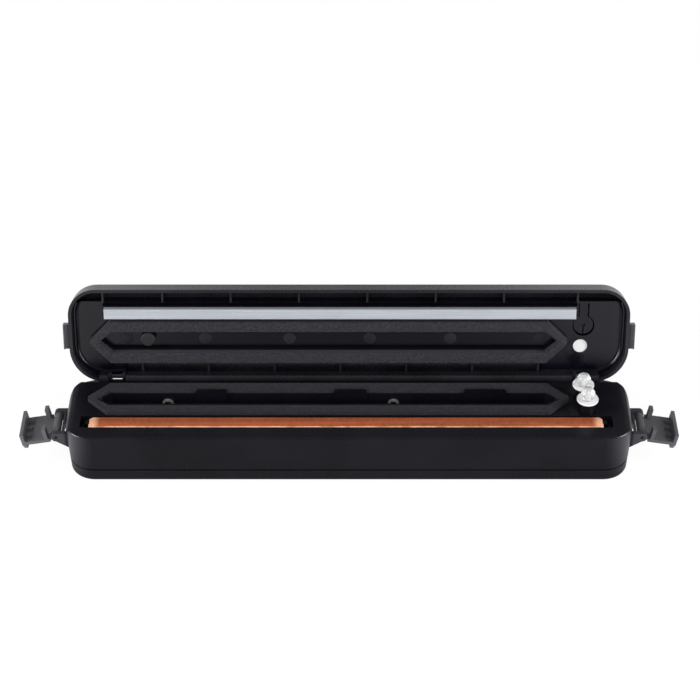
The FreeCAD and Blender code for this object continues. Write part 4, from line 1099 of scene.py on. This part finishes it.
@dataclass
class Lid:
    """Upper half: shell, panel, sealing strip, plug, pad, tongue and button."""

    panel_marks_mm: tuple[float, ...] = (-143.3, -93.1, -38.6, 13.3, 65.5, 123.5)
    shell_marks_mm: tuple[float, ...] = (-110.5, -71.1, -37.6, 113.8)
    shell_mark_r: float = 3.4 * MM

    def build(self) -> None:
        """Dresses the solids of the lid and lays the mould marks on them."""
        dress(BLACK_LID, "lid_shell")
        dress(BLACK_PANEL, "lid_panel", "press_tongue")
        dress(BLACK_BUTTON, "lid_button")
        dress(STRIP_SILICONE, "seal_strip")
        dress(PLUG_RUBBER, "vent_plug")
        dress(WHITE_PLASTIC, "push_pad")
        dress(SCREW_STEEL, "panel_screws")
        dress(DULL_STEEL, "hinge_pin_left", "hinge_pin_right")
        pose = LidPose()
        ring_low, ring_high = pose.shut_box("upper_gasket")
        panel_low, _ = pose.shut_box("lid_panel")
        shell_low, _ = pose.shut_box("lid_shell")
        ring_y = (ring_low.y + ring_high.y) / 2
        shell_y = (panel_low.y + shell_low.y) / 2
        MouldMarks("lid_panel", self.panel_marks_mm).build(pose, ring_y, ring_low.z)
        MouldMarks("lid_shell", self.shell_marks_mm, self.shell_mark_r).build(pose, shell_y, ring_low.z)


@dataclass
class Latches:
    """Swing latches at both ends, with their pins."""

    def build(self) -> None:
        """Dresses the flaps and the pins."""
        dress(BLACK_LATCH, "latch_flap_left", "latch_flap_right")
        dress(BLACKENED_STEEL, "latch_pin_left", "latch_pin_right")


@dataclass
class Works:
    """Pump and electrics inside the base."""

    def build(self) -> None:
        """Dresses the inner solids."""
        dress(MOTOR_CAN, "pump_motor", "capacitor")
        dress(INNER_BLACK, "pump_head", "pressure_sensor")
        dress(BLACK_RUBBER, "pump_saddles")
        dress(HOSE_SILICONE, "vacuum_hose", "sensor_hose")
        dress(BOARD_GREEN, "circuit_board")
        dress(RELAY_BLUE, "relay")
        dress(CORE_IRON, "transformer_core")
        dress(COIL_COPPER, "transformer_coil")


@dataclass
class Lamp:
    """One soft rectangular studio lamp."""

    name: str
    place: tuple[float, float, float]
    width: float
    height: float
    power: float
    mirrored: bool = True
    target: tuple[float, float, float] = (0.0, 0.0, 0.04)

    def build(self) -> None:
        """Adds the lamp, turned to its target and shown in reflections or not."""
        light = bpy.data.lights.new(self.name, "AREA")
        light.shape = "RECTANGLE"
        light.size = self.width
        light.size_y = self.height
        light.energy = self.power
        holder = bpy.data.objects.new(self.name, light)
        holder.visible_glossy = self.mirrored
        holder.location = self.place
        aim = Vector(self.target) - Vector(self.place)
        holder.rotation_euler = aim.to_track_quat("-Z", "Y").to_euler()
        bpy.context.scene.collection.objects.link(holder)


@dataclass
class Studio:
    """White floor, soft light and the camera."""

    camera_place: tuple[float, float, float] = (0.0006, -1.0419, 0.9066)
    camera_tilt_deg: float = 51.35
    lens_mm: float = 108.46
    sensor_mm: float = 36.0
    floor_size: float = 9.0
    floor_colour: Rgb = (0.90, 0.90, 0.90)
    floor_glow: float = 0.90
    glow_strength: float = 1.02
    floor_mirrored: float = 0.15
    sides_mirrored: float = 1.0
    dark_half: float = 0.165
    bright_half: float = 0.215
    world_fill: float = 0.36
    world_mirrored: float = 0.12

    def build(self) -> None:
        """Sets up everything round the object."""
        bpy.context.scene.view_settings.view_transform = "Standard"
        self.build_camera()
        self.build_floor()
        self.build_world()
        self.build_lamps()

    @staticmethod
    def build_lamps() -> None:
        """Adds the soft lamps above, before, behind and at both ends."""
        lamps = (
            Lamp("overhead_box", (0.0, 0.35, 1.25), width=1.5, height=0.9, power=1.0),
            Lamp("front_box", (0.0, -1.45, 0.78), width=1.3, height=0.7, power=14.5, mirrored=False),
            Lamp("back_box", (0.0, 1.7, 0.36), width=2.4, height=0.35, power=4.4),
            Lamp("left_box", (-1.15, -0.35, 0.45), width=0.5, height=0.8, power=15.0),
            Lamp("right_box", (1.15, -0.35, 0.45), width=0.5, height=0.8, power=15.0),
        )
        for lamp in lamps:
            lamp.build()

    def build_camera(self) -> None:
        """Adds the camera at the photographed viewpoint."""
        lens = bpy.data.cameras.new("camera")
        lens.lens = self.lens_mm
        lens.sensor_width = self.sensor_mm
        holder = bpy.data.objects.new("camera", lens)
        holder.location = self.camera_place
        holder.rotation_euler = (math.radians(self.camera_tilt_deg), 0.0, 0.0)
        bpy.context.scene.collection.objects.link(holder)
        bpy.context.scene.camera = holder

    @staticmethod
    def seen(graph: Graph) -> Value:
        """Picks the rays that show the background: straight ones, reflections and through clear pieces.

        Args:
            graph: Graph of the floor or of the world.

        Returns:
            1 for those rays and 0 for the rest.
        """
        straight = graph.add("ShaderNodeLightPath", output="Is Camera Ray")
        glossy = graph.add("ShaderNodeLightPath", output="Is Glossy Ray")
        through = graph.add("ShaderNodeLightPath", output="Is Transmission Ray")
        return straight.larger(glossy).larger(through)

    def build_floor(self) -> None:
        """Adds the pale floor that keeps a soft shadow."""
        bpy.ops.object.select_all(action="DESELECT")
        bpy.ops.mesh.primitive_plane_add(size=self.floor_size, location=(0.0, 0.0, 0.0))
        floor = bpy.context.object
        floor.name = "floor"
        material = bpy.data.materials.new("floor_white")
        material.use_nodes = True
        graph = Graph(material.node_tree)
        matt = graph.add("ShaderNodeBsdfDiffuse", {}, {"Color": shade(self.floor_colour, 1.0)})
        mirrored = graph.add("ShaderNodeLightPath", output="Is Glossy Ray")
        side = abs(graph.axes()[0]).step(self.dark_half, self.bright_half)
        dim = graph.mix(side, shade(COOL, self.floor_mirrored), shade(COOL, self.sides_mirrored))
        colour = graph.mix(mirrored, WHITE, dim)
        glow = graph.add("ShaderNodeEmission", {}, {"Color": colour, "Strength": self.glow_strength})
        share = self.seen(graph) * self.floor_glow
        both = graph.add("ShaderNodeMixShader", {}, {0: share, 1: matt, 2: glow})
        graph.add("ShaderNodeOutputMaterial", {}, {"Surface": both})
        floor.data.materials.append(material)

    def build_world(self) -> None:
        """Adds white surroundings, dimmer as a light and in reflections than as a background."""
        world = bpy.data.worlds.new("studio")
        world.use_nodes = True
        graph = Graph(world.node_tree)
        fill = graph.add("ShaderNodeBackground", {}, {"Color": WHITE, "Strength": self.world_fill})
        mirrored = graph.add("ShaderNodeLightPath", output="Is Glossy Ray")
        colour = graph.mix(mirrored, WHITE, shade(COOL, self.world_mirrored))
        white = graph.add("ShaderNodeBackground", {}, {"Color": colour, "Strength": 1.0})
        both = graph.add("ShaderNodeMixShader", {}, {0: self.seen(graph), 1: fill, 2: white})
        graph.add("ShaderNodeOutputWorld", {}, {"Surface": both})
        bpy.context.scene.world = world


def build_gaskets() -> None:
    """Models the foam rings of the deck and of the lid."""
    pose = LidPose()
    low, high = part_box("lower_gasket")
    lower = FoamGasket("lower_gasket", Body.BASE, SHADED_BASE_FOAM, bar=8.0 * MM, hole_shift=-1.1 * MM)
    lower.build(low, high, low.z, high.z, None)
    low, high = pose.shut_box("upper_gasket")
    upper = FoamGasket("upper_gasket", Body.LID, LID_FOAM)
    upper.build(low, high, high.z, low.z, pose.opened)


def main() -> None:
    """Builds the sub-assemblies in order and then the studio."""
    logging.basicConfig(level=logging.INFO, format="%(name)s %(message)s")
    Base().build()
    build_gaskets()
    Heater().build()
    Plunger("front_plunger", Body.FRONT_PLUNGER).build()
    Plunger("rear_plunger", Body.REAR_PLUNGER).build()
    Lid().build()
    Latches().build()
    Works().build()
    Studio().build()


if __name__ == "__main__":
    main()
